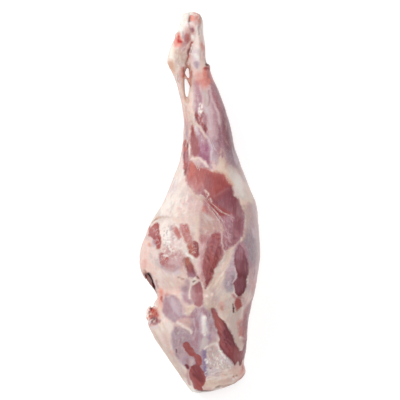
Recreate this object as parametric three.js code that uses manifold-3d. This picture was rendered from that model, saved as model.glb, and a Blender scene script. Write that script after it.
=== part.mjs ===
// A raw leg of lamb, bone in, with its chump and its hock on: one piece of meat, so one solid.
//
// Frame, in millimetres: the leg lies flat on its inner side on the plane z = 0, as meat slumps on a
// block. +Y runs from the chump to the hock, +X to the front edge (the thick flank), +Z up.
// The origin is under the middle of the leg.
//
// How it is built: each long part is a sphere moulded over cross-sections that stand across Y.
// The thigh and shank, the heel with its tendon, and the shin end are three such parts. They are
// fused, which leaves the two slots between the tendon and the shin open. Small lumps are fused on,
// and then the butcher's cut across the chump, the fold in the back edge and the slit between heel
// and shin are cut away.

import * as THREE from "three";
import { mergeVertices } from "three/addons/utils/BufferGeometryUtils.js";
import Module from "manifold-3d";

const wasm = await Module();
wasm.setup();

// ---------------------------------------------------------------------------------------------
// Driving dimensions
// ---------------------------------------------------------------------------------------------

const LEG_LENGTH = 550; // hock tip to the far corner of the chump
const HOCK_TIP = LEG_LENGTH / 2;
const CHUMP_CORNER = -LEG_LENGTH / 2;
const THICKNESS = 91; // at the middle of the thigh
const WAIST = 0.42; // share of a section's height at which it is widest

const BODY_AROUND = 46; // facets round the thigh
const BODY_ALONG = 78;
const BONE_AROUND = 20; // facets round the heel and the shin end
const BONE_ALONG = 32;

// Every profile below is a list of [y, value], from the hock down to the chump.

// Front edge of thigh and shank: shin, knee, thick flank, chump.
const FRONT_EDGE = [
  [206, 8], [196, 13], [185, 16.5], [162, 26.5], [139, 35.5], [104, 45.5], [81, 50], [58, 57.5],
  [35, 66], [12, 75.5], [-5, 82], [-34, 84.5], [-69, 87], [-103, 83.7], [-126, 80], [-149, 74],
  [-172, 69.8], [-207, 67.5], [-226, 64.2], [-231, 63.4], [-241, 66.2], [-260, 63], [-290, 58],
];

// Back edge: shin, calf, thigh, the notch above the tail end, the sawn edge of the rump.
const BACK_EDGE = [
  [206, -12], [190, -15.5], [168, -14], [150, -17.5], [140, -21], [104, -23.5], [81, -25],
  [58, -29.5], [35, -38.5], [12, -47.5], [-8, -57], [-23, -67.5], [-46, -77.5], [-69, -85.5],
  [-87, -87], [-103, -82.9], [-115, -75.5], [-126, -65], [-137, -60.5], [-150, -62], [-163, -68],
  [-173, -74.5], [-190, -68], [-213, -53.5], [-247, -30.5], [-275, -11], [-292, 0],
];

// Highest line of the meat, and its underside.
const CREST = [
  [206, 38], [190, 40], [150, 44], [100, 54], [60, 64], [20, 74], [-20, 83], [-60, 89],
  [-100, THICKNESS], [-140, 87], [-180, 78], [-220, 66], [-250, 55], [-275, 45], [-290, 40],
];
const UNDERSIDE = [
  [206, 5], [190, 8], [150, 11], [100, 10], [60, 7], [20, 2], [-10, -2], [-60, -4], [-120, -5],
  [-200, -3], [-235, 1], [-275, 7], [-290, 9],
];

// How much higher the front half of a section stands than its back half, as a share of its height.
const LEAN = [
  [206, 0], [100, 0.05], [20, 0.08], [-80, 0.14], [-140, 0.1], [-200, 0.02], [-290, 0],
];

// The heel bone with the tendon that runs from it down the back of the calf.
const HEEL = {
  front: [
    [274, -12], [264, -11], [240, -8], [228, -10], [214, -13], [203, -14.5], [195, -17.5],
    [189, -21], [180, -22], [168, -21.6], [155, -20.6], [146, -18.5], [120, -14], [84, -8],
  ],
  back: [
    [274, -21], [268, -25], [258, -28.5], [250, -31], [243, -33], [235, -36.5], [228, -40],
    [220, -43.5], [212, -46], [205, -47.2], [199, -46.6], [195, -44.8], [190, -41.2],
    [180, -36.6], [170, -33.2], [150, -28.6], [140, -26.2], [122, -23.6], [104, -21],
    [84, -12],
  ],
  crest: [
    [274, 26], [264, 32], [250, 35], [235, 38], [215, 39], [203, 37], [190, 34], [175, 32],
    [150, 34], [120, 41], [84, 42],
  ],
  underside: [
    [274, 15], [264, 8], [250, 4], [235, 2], [215, 0], [203, 2], [190, 11], [175, 18],
    [150, 20], [120, 22], [84, 28],
  ],
};

// The shin end: knuckle of the shin bone and the small bones of the hock, side by side with the heel.
const SHIN_END = {
  front: [
    [HOCK_TIP, -6], [272, -0.5], [266, 3], [257, 4.8], [245, 5], [235, 6.2], [225, 7.6], [214, 8],
    [206, 8.6], [199, 10.5], [186, 14], [176, 17],
  ],
  back: [
    [HOCK_TIP, -17], [272, -19], [262, -19], [250, -16], [238, -13], [230, -10], [222, -12.5],
    [212, -15.6], [198, -16], [190, -15.8], [176, -14],
  ],
  crest: [
    [HOCK_TIP, 24], [266, 32], [250, 37], [235, 38], [215, 40], [200, 41], [176, 41],
  ],
  underside: [
    [HOCK_TIP, 17], [266, 7], [250, 1], [235, 0], [215, 1], [200, 3], [176, 9],
  ],
};

// Muscles that stand out of the upper side: a ridge along a line from a to b, fading over `reach`.
// A negative lift is the seam between two muscles.
const MUSCLES = {
  calf: { a: [6, 118], b: [24, 66], reach: 15, lift: 4.5 },
  "shin front": { a: [22, 150], b: [42, 84], reach: 10, lift: 3 },
  "silverside head": { a: [-2, 34], b: [44, 6], reach: 26, lift: 6 },
  "silverside tail": { a: [52, -8], b: [50, -46], reach: 20, lift: 5 },
  "salmon cut": { a: [17, -48], b: [12, -108], reach: 14, lift: 4.5 },
  topside: { a: [-34, 4], b: [-30, -30], reach: 24, lift: 4 },
  "back of the thigh": { a: [-62, -52], b: [-66, -92], reach: 17, lift: 6 },
  "aitch meat": { a: [-36, -70], b: [-40, -96], reach: 18, lift: 4.5 },
  "thick flank": { a: [66, -40], b: [60, -128], reach: 17, lift: 6 },
  rump: { a: [-34, -146], b: [-26, -204], reach: 22, lift: 7 },
  "middle of the rump": { a: [4, -152], b: [6, -206], reach: 9, lift: 5.5 },
  chump: { a: [36, -176], b: [44, -214], reach: 15, lift: 5 },
  "chump fat": { a: [26, -232], b: [34, -244], reach: 16, lift: 4 },
  "seam behind the thick flank": { a: [56, -60], b: [22, -112], reach: 8, lift: -5 },
  "seam of the salmon cut": { a: [-3, -44], b: [-1, -120], reach: 7, lift: -4.5 },
  "seam across the thigh": { a: [-66, -24], b: [-34, -26], reach: 9, lift: -3 },
  "seam over the rump": { a: [-50, -122], b: [-8, -126], reach: 9, lift: -4.5 },
  "seam beside the rump": { a: [-6, -160], b: [-12, -232], reach: 7, lift: -3 },
  "seam beside the chump": { a: [18, -150], b: [26, -222], reach: 7, lift: -4 },
  "seam above the knee": { a: [-14, 62], b: [14, 52], reach: 8, lift: -4 },
  "seam down the calf": { a: [-11, 122], b: [-14, 66], reach: 6, lift: -4.5 },
};

// Lumps fused on: [x, y, z] of the middle and [x, y, z] half sizes.
const LUMPS = [
  // cut tail end, a knot of bone and gristle
  { at: [-70, -156, 31], half: [6.5, 5, 8] },
  { at: [-62, -156, 36], half: [7, 6, 9] },
  { at: [-72, -165, 31], half: [5.5, 5.5, 7] },
  { at: [-65, -167, 37], half: [7.5, 6, 8] },
  { at: [-60, -147, 34], half: [6, 8, 8] },
  { at: [-58, -174, 36], half: [10, 7, 9] },
  // torn end of the front shin tendon
  { at: [10.5, 195.5, 27], half: [4.6, 4.2, 6] },
  // point of the heel
  { at: [-39, 203, 20], half: [8.2, 8.5, 14] },
  // small bones of the hock
  { at: [-27, 238, 27], half: [9, 11, 11.5] },
  { at: [-17, 247, 27], half: [7.5, 8, 11] },
  { at: [-3, 221, 27], half: [8.5, 13, 14.5] },
  { at: [-19, 265, 24], half: [7, 8.5, 10] },
];

// Sinew strand that crosses between the tendon and the shin and parts the two slots.
const STRAND = { from: [-23.5, 187, 27], to: [-12.5, 168, 27], radius: 1.7 };

// The cut across the chump: a plane through two points of its upper rim, leaning under the meat.
const CHUMP_CUT = { rimFront: [58, -255], rimBack: [-4, CHUMP_CORNER], lean: 22, rimHeight: 37 };

// The fold in the back edge of the thigh: a pocket under the flap of meat.
const FOLD = { from: [-78, -97], to: [-64.5, -127], z: 46, halfWidth: 3.8, halfDepth: 21, lean: 16 };

// The slit between the heel and the shin end.
const SLIT = { from: [-9.5, 232], to: [-17.6, 203], z: 40, halfWidth: 1.7, halfDepth: 16, lean: 0 };

// ---------------------------------------------------------------------------------------------
// Helpers
// ---------------------------------------------------------------------------------------------

// A smooth curve through [y, value] knots that never swings past a knot (monotone cubic).
function profile(knots) {
  const sorted = [...knots].sort((p, q) => p[0] - q[0]);
  const slopes = sorted.slice(1).map((p, i) => (p[1] - sorted[i][1]) / (p[0] - sorted[i][0]));
  const tangents = sorted.map((_, i) => {
    const before = slopes[Math.max(i - 1, 0)];
    const after = slopes[Math.min(i, slopes.length - 1)];
    return before * after <= 0 ? 0 : (2 * before * after) / (before + after);
  });
  return (y) => {
    const last = sorted.length - 2;
    let i = sorted.findIndex((p) => p[0] > y) - 1;
    i = Math.min(Math.max(i < -1 ? last : i, 0), last);
    const span = sorted[i + 1][0] - sorted[i][0];
    const t = THREE.MathUtils.clamp((y - sorted[i][0]) / span, 0, 1);
    const h = 1 - t;
    return (
      sorted[i][1] * h * h * (1 + 2 * t) +
      sorted[i + 1][1] * t * t * (3 - 2 * t) +
      span * t * h * (tangents[i] * h - tangents[i + 1] * t)
    );
  };
}

// cos or sin raised to a power with its sign kept: 1 gives an ellipse, less gives a squarer section.
function squared(value, power) {
  return Math.sign(value) * Math.abs(value) ** power;
}

// Distance in plan from (x, y) to the segment a-b.
function distanceToLine(x, y, a, b) {
  const [dx, dy] = [b[0] - a[0], b[1] - a[1]];
  const along = ((x - a[0]) * dx + (y - a[1]) * dy) / (dx * dx + dy * dy);
  const t = THREE.MathUtils.clamp(along, 0, 1);
  return Math.hypot(x - a[0] - t * dx, y - a[1] - t * dy);
}

// A sphere with its poles on Y, each vertex moved to place(angle round Y, share of the way along Y).
function mould(around, along, place) {
  const geometry = new THREE.SphereGeometry(1, around, along);
  const position = geometry.getAttribute("position");
  for (let i = 0; i < position.count; i++) {
    const row = Math.floor(i / (around + 1)) / along;
    const pole = row === 0 || row === 1;
    const angle = Math.PI - ((i % (around + 1)) / around) * 2 * Math.PI;
    position.setXYZ(i, ...place(pole ? 0 : angle, row));
  }
  return geometry;
}

// The closed mesh of a geometry as a solid that can be joined and cut.
function solid(geometry) {
  const bare = geometry.clone();
  bare.deleteAttribute("normal");
  bare.deleteAttribute("uv");
  const merged = mergeVertices(bare, 1e-4);
  const vertProperties = merged.getAttribute("position").array;
  return new wasm.Manifold(
    new wasm.Mesh({ numProp: 3, vertProperties, triVerts: new Uint32Array(merged.index.array) }),
  );
}

// And back again, for a three.js mesh.
function geometryOf(manifold) {
  const { vertProperties, triVerts, numProp } = manifold.getMesh();
  const position = new Float32Array((vertProperties.length / numProp) * 3);
  for (let i = 0; i < position.length / 3; i++) {
    position.set(vertProperties.subarray(i * numProp, i * numProp + 3), i * 3);
  }
  const geometry = new THREE.BufferGeometry();
  geometry.setAttribute("position", new THREE.BufferAttribute(position, 3));
  geometry.setIndex(new THREE.BufferAttribute(triVerts, 1));
  geometry.computeVertexNormals();
  return geometry;
}

// ---------------------------------------------------------------------------------------------
// Parts
// ---------------------------------------------------------------------------------------------

// How far the muscles and seams lift the upper side at (x, y).
function muscleLift(x, y) {
  return Object.values(MUSCLES).reduce((sum, { a, b, reach, lift }) => {
    const d = distanceToLine(x, y, a, b) / reach;
    return sum + lift * Math.exp(-d * d);
  }, 0);
}

// Slow waves all over, so that no stretch of meat is a true ellipse.
function unevenness(x, y, z) {
  return (
    0.9 * Math.sin(x / 17 + y / 29) * Math.cos(y / 21 - z / 15) +
    0.5 * Math.sin(x / 9 - z / 11 + 1.3) * Math.sin(y / 12 + 0.6)
  );
}

// Stations crowd towards both ends, where the outline turns fastest.
function station(share, from, to, crowding) {
  const eased = share - (crowding * Math.sin(2 * Math.PI * share)) / (2 * Math.PI);
  return THREE.MathUtils.lerp(from, to, eased);
}

// Shrinks the first and last sections so that the moulded sphere closes in a round end.
function roundEnd(y, from, to, depth) {
  const inside = Math.min(from - y, y - to) / depth;
  return inside >= 1 ? 1 : Math.sqrt(1 - (1 - inside) ** 2);
}

// Thigh, shank and rump in one: the body that everything else is fused to.
function thighAndShank() {
  const [front, back, crest, underside, lean] = [
    FRONT_EDGE, BACK_EDGE, CREST, UNDERSIDE, LEAN,
  ].map(profile);
  const [from, to] = [206, -290];
  const topSquareness = 0.9;
  const footSquareness = 0.8;
  return mould(BODY_AROUND, BODY_ALONG, (angle, share) => {
    const y = station(share, from, to, 0.35);
    const end = roundEnd(y, from, to, 14);
    const [c, s] = [Math.cos(angle), Math.sin(angle)];
    const width = (front(y) - back(y)) / 2;
    const middle = (front(y) + back(y)) / 2;
    const height = crest(y) - underside(y);
    const waist = underside(y) + height * WAIST;
    const x = middle + width * end * squared(c, topSquareness);
    const reach = s > 0 ? crest(y) - waist : waist - underside(y);
    let z = waist + reach * end * squared(s, s > 0 ? topSquareness : footSquareness);
    const upward = THREE.MathUtils.smoothstep(s, 0, 0.75);
    z += upward * end * (muscleLift(x, y) + height * lean(y) * c);
    z += unevenness(x, y, z) * end;
    return [x, y, Math.max(z, 0)];
  });
}

// A bony part: sections between a front and a back edge, a crest and an underside.
function bonyPart({ front, back, crest, underside }, ends) {
  const [from, to] = [front[0][0], front[front.length - 1][0]];
  const [f, b, t, u] = [front, back, crest, underside].map(profile);
  return mould(BONE_AROUND, BONE_ALONG, (angle, share) => {
    const y = station(share, from, to, 0.3);
    const end = roundEnd(y, from, to, ends);
    const x = (f(y) + b(y)) / 2 + ((f(y) - b(y)) / 2) * end * squared(Math.cos(angle), 0.92);
    const z = (t(y) + u(y)) / 2 + ((t(y) - u(y)) / 2) * end * squared(Math.sin(angle), 0.92);
    return [x, y, Math.max(z, 0)];
  });
}

// A lump of bone, gristle or sinew: a small uneven ball.
function lump({ at, half }) {
  const geometry = new THREE.IcosahedronGeometry(1, 2);
  const position = geometry.getAttribute("position");
  for (let i = 0; i < position.count; i++) {
    const [x, y, z] = [position.getX(i), position.getY(i), position.getZ(i)];
    const swell = 1 + 0.13 * Math.sin(4 * x + at[0]) * Math.cos(5 * y + at[1]) * Math.sin(3 * z + 1);
    position.setXYZ(
      i,
      at[0] + half[0] * x * swell,
      at[1] + half[1] * y * swell,
      at[2] + half[2] * z * swell,
    );
  }
  return geometry;
}

// The sinew strand between the two slots.
function strand({ from, to, radius }) {
  const [start, end] = [new THREE.Vector3(...from), new THREE.Vector3(...to)];
  const run = end.clone().sub(start);
  const turn = new THREE.Quaternion().setFromUnitVectors(
    new THREE.Vector3(0, 1, 0),
    run.clone().normalize(),
  );
  return new THREE.CylinderGeometry(radius, radius, run.length(), 10)
    .applyQuaternion(turn)
    .translate(...start.lerp(end, 0.5).toArray());
}

// A blade-shaped cutter along a line in plan, for a fold or a slit. It leans outwards at the top.
function blade({ from, to, z, halfWidth, halfDepth, lean }) {
  const [dx, dy] = [to[0] - from[0], to[1] - from[1]];
  return new THREE.SphereGeometry(1, 16, 14)
    .scale(halfWidth, Math.hypot(dx, dy) / 2, halfDepth)
    .rotateY(THREE.MathUtils.degToRad(-lean))
    .rotateZ(Math.atan2(dy, dx) - Math.PI / 2)
    .translate((from[0] + to[0]) / 2, (from[1] + to[1]) / 2, z);
}

// A block beyond the cut across the chump, for cutting the end off.
function beyondChumpCut({ rimFront, rimBack, lean, rimHeight }) {
  const size = 300;
  return new THREE.BoxGeometry(size, size, size)
    .translate(0, -size / 2, 0)
    .rotateX(THREE.MathUtils.degToRad(lean))
    .rotateZ(Math.atan2(rimFront[1] - rimBack[1], rimFront[0] - rimBack[0]))
    .translate((rimFront[0] + rimBack[0]) / 2, (rimFront[1] + rimBack[1]) / 2, rimHeight);
}

// ---------------------------------------------------------------------------------------------
// The leg
// ---------------------------------------------------------------------------------------------

function legOfLamb() {
  const added = [
    bonyPart(HEEL, 7),
    bonyPart(SHIN_END, 6),
    strand(STRAND),
    ...LUMPS.map(lump),
  ].map(solid);
  const cut = [beyondChumpCut(CHUMP_CUT), blade(FOLD), blade(SLIT)].map(solid);
  const fused = added.reduce((whole, piece) => whole.add(piece), solid(thighAndShank()));
  return geometryOf(cut.reduce((whole, piece) => whole.subtract(piece), fused));
}

const meat = new THREE.MeshStandardMaterial({ color: 0xc9958d, roughness: 0.4, metalness: 0 });
const leg = new THREE.Mesh(legOfLamb(), meat);
leg.name = "leg_of_lamb";

const part = new THREE.Group();
part.add(leg);

export default part;
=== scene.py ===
# %% [markdown]
# # A raw leg of lamb
#
# This is a whole leg as it lies on the block: the chump at the near end, then the thick thigh, the
# shank, and the heel and small bones of the hock at the far end, with the outer side up. It is one
# piece of meat, but its surface is many tissues: cream fat, thin silverskin that looks lilac over the
# dark meat below it, bare red muscle where fat was trimmed off, tendon, gristle and a little blood.
#
# The lesson goes the way a model maker would: take the plain solid, give it a fine skin of small
# faces, paint each tissue on that skin, let the paint also say how high or low the surface is there,
# and then build one material that turns the painted areas into fat, meat and sinew.

# %% Load the frame
import math

import bpy
import numpy as np
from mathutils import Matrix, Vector, noise
from mathutils.bvhtree import BVHTree


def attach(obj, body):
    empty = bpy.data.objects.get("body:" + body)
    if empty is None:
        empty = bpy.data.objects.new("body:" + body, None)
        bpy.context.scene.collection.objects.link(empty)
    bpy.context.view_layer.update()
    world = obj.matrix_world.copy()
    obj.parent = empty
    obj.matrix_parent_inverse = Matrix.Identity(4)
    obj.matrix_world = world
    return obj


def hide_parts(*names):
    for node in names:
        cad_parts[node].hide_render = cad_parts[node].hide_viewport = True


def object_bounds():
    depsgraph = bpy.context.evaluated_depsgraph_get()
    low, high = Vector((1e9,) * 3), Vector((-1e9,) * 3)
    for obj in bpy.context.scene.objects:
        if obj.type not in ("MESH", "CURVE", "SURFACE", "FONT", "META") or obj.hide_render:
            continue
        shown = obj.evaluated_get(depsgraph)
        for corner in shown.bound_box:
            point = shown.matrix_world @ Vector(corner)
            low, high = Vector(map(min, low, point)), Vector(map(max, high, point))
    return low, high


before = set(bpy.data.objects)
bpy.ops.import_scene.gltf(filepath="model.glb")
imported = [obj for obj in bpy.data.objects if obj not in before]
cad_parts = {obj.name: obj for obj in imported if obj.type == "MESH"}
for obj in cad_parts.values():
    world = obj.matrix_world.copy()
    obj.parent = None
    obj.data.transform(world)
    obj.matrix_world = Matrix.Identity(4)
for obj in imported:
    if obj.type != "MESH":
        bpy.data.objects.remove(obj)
cad_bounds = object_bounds()
MM = 0.001
print("frame, in mm:", [[round(v / MM) for v in corner] for corner in cad_bounds])

# %% [markdown]
# ## The camera and the light
#
# The leg is looked at from straight above, as it would be for a butcher's chart. The camera could be
# orthographic, but a long lens far away is what a studio would use, and hardly spreads the sides. A
# large soft box hangs overhead, and the key stands to the upper left, so that the right flank falls
# off a little, as a round thing should.

# %% Camera
SENSOR_WIDTH = 36.0
LENS = 300.0
PLANE_HEIGHT = 26 * MM  # the widest line of the leg, where the scale is set
PICTURE_WIDTH = 576 * MM  # what the picture spans at that height
AIM = (0.36 * MM, 3.24 * MM)  # where the middle of the picture lies in plan

bpy.ops.object.camera_add(location=(*AIM, PLANE_HEIGHT + PICTURE_WIDTH * LENS / SENSOR_WIDTH))
camera = bpy.context.object
camera.data.sensor_width = SENSOR_WIDTH
camera.data.lens = LENS
bpy.context.scene.camera = camera
print("camera height, in m:", round(camera.location.z, 3))

# %% Lights and world
WORLD_LIGHT = 0.52
bpy.context.scene.view_settings.view_transform = "Standard"


def soft_box(name, location, size, power):
    """A square area light that faces the leg. Its place and size are in metres, its power in watts."""
    bpy.ops.object.light_add(type="AREA", location=location)
    box = bpy.context.object
    box.name = name
    box.data.size = size
    box.data.energy = power
    box.rotation_euler = (Vector(AIM + (0,)) - box.location).to_track_quat("-Z", "Y").to_euler()
    return box


soft_box("key_box", (-1.5, 1.1, 1.9), 0.7, 24)
soft_box("overhead_box", (0.3, 0.4, 5.6), 2.2, 78)

world = bpy.data.worlds.new("studio")
world.use_nodes = True
background = world.node_tree.nodes["Background"]
background.inputs["Color"].default_value = (1, 1, 1, 1)
background.inputs["Strength"].default_value = WORLD_LIGHT
bpy.context.scene.world = world

# %% [markdown]
# ## Small helpers for materials
#
# Colours are written as the hex values that a picture editor shows. Blender's shaders work in linear
# light, so one function turns them, and a second adds the alpha that a colour socket wants. A third
# adds a node with its settings and links, which keeps each material readable as a list of steps.

# %% Colour and node helpers


def linear(hex_colour):
    """An sRGB hex colour as linear red, green and blue."""
    parts = [int(hex_colour[i : i + 2], 16) / 255 for i in (1, 3, 5)]
    return [p / 12.92 if p <= 0.04045 else ((p + 0.055) / 1.055) ** 2.4 for p in parts]


def opaque(hex_colour):
    """The same with full alpha."""
    return (*linear(hex_colour), 1)


def add_node(tree, kind, inputs, **settings):
    """Adds a node. Each input is a value, or the output socket of another node."""
    made = tree.nodes.new(kind)
    for name, value in settings.items():
        setattr(made, name, value)
    for name, value in inputs.items():
        if isinstance(value, bpy.types.NodeSocket):
            tree.links.new(value, made.inputs[name])
        else:
            made.inputs[name].default_value = value
    return made


def new_material(name):
    """A material with an empty node tree, its output node, and the tree."""
    material = bpy.data.materials.new(name)
    material.use_nodes = True
    material.node_tree.nodes.clear()
    output = material.node_tree.nodes.new("ShaderNodeOutputMaterial")
    return material, material.node_tree, output


# %% [markdown]
# The floor is a plain light table: a matt white sheet that glows a little from below, as for a
# catalogue picture, so that it takes hardly any shadow. White paper would do, but it turns grey where
# the leg shades it.

# %% The floor
FLOOR_SIZE = 8  # metres
FLOOR_DROP = 0.2 * MM  # the least that keeps it apart from the leg's underside
bpy.ops.mesh.primitive_plane_add(size=FLOOR_SIZE, location=(0, 0, -FLOOR_DROP))
table_top = bpy.context.object
table_top.name = "table_top"
opal_sheet, tree, output = new_material("opal_acrylic_sheet")
matt = add_node(
    tree,
    "ShaderNodeBsdfPrincipled",
    {
        "Base Color": opaque("#C4C4C4"),
        "Roughness": 0.8,
        "Specular IOR Level": 0.2,
        "Emission Color": (1, 1, 1, 1),
        "Emission Strength": 0.6,
    },
)
tree.links.new(matt.outputs["BSDF"], output.inputs["Surface"])
table_top.data.materials.append(opal_sheet)

# %% [markdown]
# ## A fine skin for the leg
#
# The frame's solid has the true form but broad facets. It is copied, its loose triangles are merged,
# and small shreds of gristle are added where the meat was torn: at the cut tail end and at the end of
# the front shin tendon. A voxel remesh then melds everything into one skin of even faces. It could be
# subdivided instead, but the facets are uneven where pieces were joined, and even faces take paint
# and relief alike everywhere. The flat underside needs fewer faces, so every other row is taken out
# there. A decimate would thin it as well, but it leaves long slivers on which paint smears.

# %% Copy the solid and merge it
VOXEL = 1.36 * MM
MERGE_WITHIN = 0.01 * MM


def choose(piece):
    """Makes piece the only selected object, and the active one."""
    bpy.ops.object.select_all(action="DESELECT")
    piece.select_set(True)
    bpy.context.view_layer.objects.active = piece


def apply_modifier(piece, kind, **settings):
    """Adds a modifier with its settings and applies it."""
    choose(piece)
    modifier = piece.modifiers.new(kind.lower(), kind)
    for name, value in settings.items():
        setattr(modifier, name, value)
    bpy.ops.object.modifier_apply(modifier=modifier.name)


leg = bpy.data.objects.new("raw_lamb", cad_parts["leg_of_lamb"].data.copy())
bpy.context.scene.collection.objects.link(leg)
leg.data.materials.clear()
choose(leg)
bpy.ops.object.mode_set(mode="EDIT")
bpy.ops.mesh.select_all(action="SELECT")
bpy.ops.mesh.remove_doubles(threshold=MERGE_WITHIN)
bpy.ops.object.mode_set(mode="OBJECT")
print("merged:", len(leg.data.vertices), "points")

# %% Shreds of gristle
SHREDS = [  # x, y, z and radius in mm
    (-72, -151, 37, 2.4), (-66, -152, 43, 2.8), (-75, -158, 36, 2.6), (-69, -160, 43, 2.6),
    (-63, -160, 46, 2.4), (-75, -166, 35, 2.4), (-70, -169, 41, 2.8), (-64, -172, 45, 2.6),
    (-60, -166, 45, 2.2), (-72, -173, 34, 2.0), (-58, -152, 42, 2.6), (-66, -165, 46, 2.2),
    (12.6, 197, 31, 1.9), (8.5, 199, 32, 2.1), (13.2, 192, 29, 2.2), (9, 193.5, 34, 2.0),
]
shreds = [leg]
for x, y, z, radius in SHREDS:
    bpy.ops.mesh.primitive_ico_sphere_add(
        subdivisions=2, radius=radius * MM, location=(x * MM, y * MM, z * MM)
    )
    shreds.append(bpy.context.object)
choose(leg)
for shred in shreds:
    shred.select_set(True)
bpy.ops.object.join()
print("shreds joined:", len(SHREDS))

# %% Remesh, and take the facets off
SHANK_MIDDLE = 150 * MM  # the broad forms end here
BACK_EDGE = -58 * MM  # behind it lie the fold and the torn end, which stay crisper
FOLD_ENDS = (-138, -86)  # mm along the leg
SMOOTHING = {"broad": 26, "fold_lips": 12, "": 4}  # passes for each group, and at last for all

apply_modifier(leg, "REMESH", mode="VOXEL", voxel_size=VOXEL)


def point_group(name, belongs):
    """Makes a group of the points of the leg whose place belongs to it."""
    group = leg.vertex_groups.new(name=name)
    group.add([v.index for v in leg.data.vertices if belongs(v.co)], 1, "REPLACE")


point_group("broad", lambda at: at.y < SHANK_MIDDLE and at.x > BACK_EDGE)
point_group("fold_lips", lambda at: at.x < BACK_EDGE and FOLD_ENDS[0] < at.y / MM < FOLD_ENDS[1])
for group, passes in SMOOTHING.items():
    apply_modifier(leg, "SMOOTH", factor=0.5, iterations=passes, vertex_group=group)
print("remeshed:", len(leg.data.vertices), "points")

# %% Thin the underside
FACES_DOWN = -0.45
HOCK_START = 190 * MM

choose(leg)
bpy.ops.object.mode_set(mode="EDIT")
bpy.ops.mesh.select_all(action="DESELECT")
bpy.ops.object.mode_set(mode="OBJECT")
for face in leg.data.polygons:
    face.select = face.normal.z < FACES_DOWN and face.center.y < HOCK_START
bpy.ops.object.mode_set(mode="EDIT")
bpy.ops.mesh.unsubdivide(iterations=3)
bpy.ops.object.mode_set(mode="OBJECT")
leg.data.calc_loop_triangles()
print("skin:", len(leg.data.vertices), "points,", len(leg.data.loop_triangles), "triangles")

# %% [markdown]
# ## Painting on the skin
#
# Each point of the skin holds what is painted there: the colour of the covering tissue, the colour of
# the lean, how far inside bare lean it is, the direction of the grain, how mottled it is, and how far
# the surface is lifted. A painter could brush this by hand in Vertex Paint. Here each patch is a
# smooth outline through a few points in millimetres, seen from above, with a soft or a sharp edge.
#
# Seen from above, a side wall is a line, and paint on it would run down like a curtain. So the walls
# are rolled out first: a point below the widest line moves outwards in the plan by its drop. The
# places are also shifted by slow noise, so that no edge is a clean curve, and most on the walls.

# %% Read the skin
count = len(leg.data.vertices)
place = np.empty(count * 3)
leg.data.vertices.foreach_get("co", place)
place = place.reshape(-1, 3) / MM
facing = np.empty(count * 3)
leg.data.vertex_normals.foreach_get("vector", facing)
facing = facing.reshape(-1, 3)


def wander(size, shift=0.0, where=None):
    """Smooth random numbers, about -1 to 1, that change over `size` mm. Each shift is another pattern."""
    points = place if where is None else where
    offset = Vector((shift, shift * 1.7, shift * 2.3))
    return np.array([noise.noise(Vector(p) / size + offset) for p in points]) * 1.6


def soft_step(value, half_width):
    """0 to 1 as value goes from -half_width to half_width."""
    t = np.clip(0.5 + 0.5 * value / half_width, 0, 1)
    return t * t * (3 - 2 * t)


# %% Roll the walls out into the plan
STATIONS = np.arange(-272, 276, 8.0)  # mm along the leg
NEAR_STATION = 7  # mm
FEW_POINTS = 8
USUAL_HEIGHT = 25  # mm, taken where a station has few upright points
LARGEST_DROP = 60  # mm
UPRIGHT = 0.12  # the most that a wall's normal tips up or down

upright = np.abs(facing[:, 2]) < UPRIGHT
drop = np.zeros(count)
for side in (-1, 1):
    mine = side * facing[:, 0] > 0
    heights = []
    for station in STATIONS:
        near = upright & mine & (np.abs(place[:, 1] - station) < NEAR_STATION)
        heights.append(np.median(place[near, 2]) if near.sum() > FEW_POINTS else USUAL_HEIGHT)
    widest = np.interp(place[mine, 1], STATIONS, heights)
    drop[mine] = np.clip(widest - place[mine, 2], 0, LARGEST_DROP)
level = np.hypot(facing[:, 0], facing[:, 1])
outwards = facing[:, :2] / np.maximum(level, 0.2)[:, None]
rolled = place[:, :2] + outwards * (drop * soft_step(0.2 - facing[:, 2], 0.2))[:, None]

shake = np.column_stack([wander(7, 3), wander(7, 11)]) * 0.8
shake += np.column_stack([wander(2.6, 5), wander(2.6, 17)]) * 0.4
wall = soft_step(0.4 - facing[:, 2], 0.3)
slump = np.column_stack([wander(14, 23) * 3, wander(14, 29) * 12]) * wall[:, None]
PLAN = {"outer": rolled + shake + slump, "inner": place[:, :2] + shake * 2}
MASK = {"outer": soft_step(facing[:, 2] + 0.5, 0.15)}
MASK["inner"] = 1 - MASK["outer"]
print("rolled out:", round(drop.max()), "mm at most")

# %% Outlines


def smooth_curve(points, closed, steps=5):
    """Points along a Catmull-Rom curve through given ones."""
    p = np.array(points, float)
    ends = (p[-1:], p[:2]) if closed else (p[:1], p[-1:])
    q = np.vstack([ends[0], p, ends[1]])
    a, b, c, d = q[:-3], q[1:-2], q[2:-1], q[3:]
    curve = [
        0.5 * (2 * b + (c - a) * t + (2 * a - 5 * b + 4 * c - d) * t**2 + (3 * b - a - 3 * c + d) * t**3)
        for t in np.linspace(0, 1, steps, endpoint=False)
    ]
    curve = np.stack(curve, axis=1).reshape(-1, 2)
    return np.vstack([curve, p[:1] if closed else p[-1:]])


REACH = 14.0  # mm beyond an outline at which its distance is no longer worked out


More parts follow.
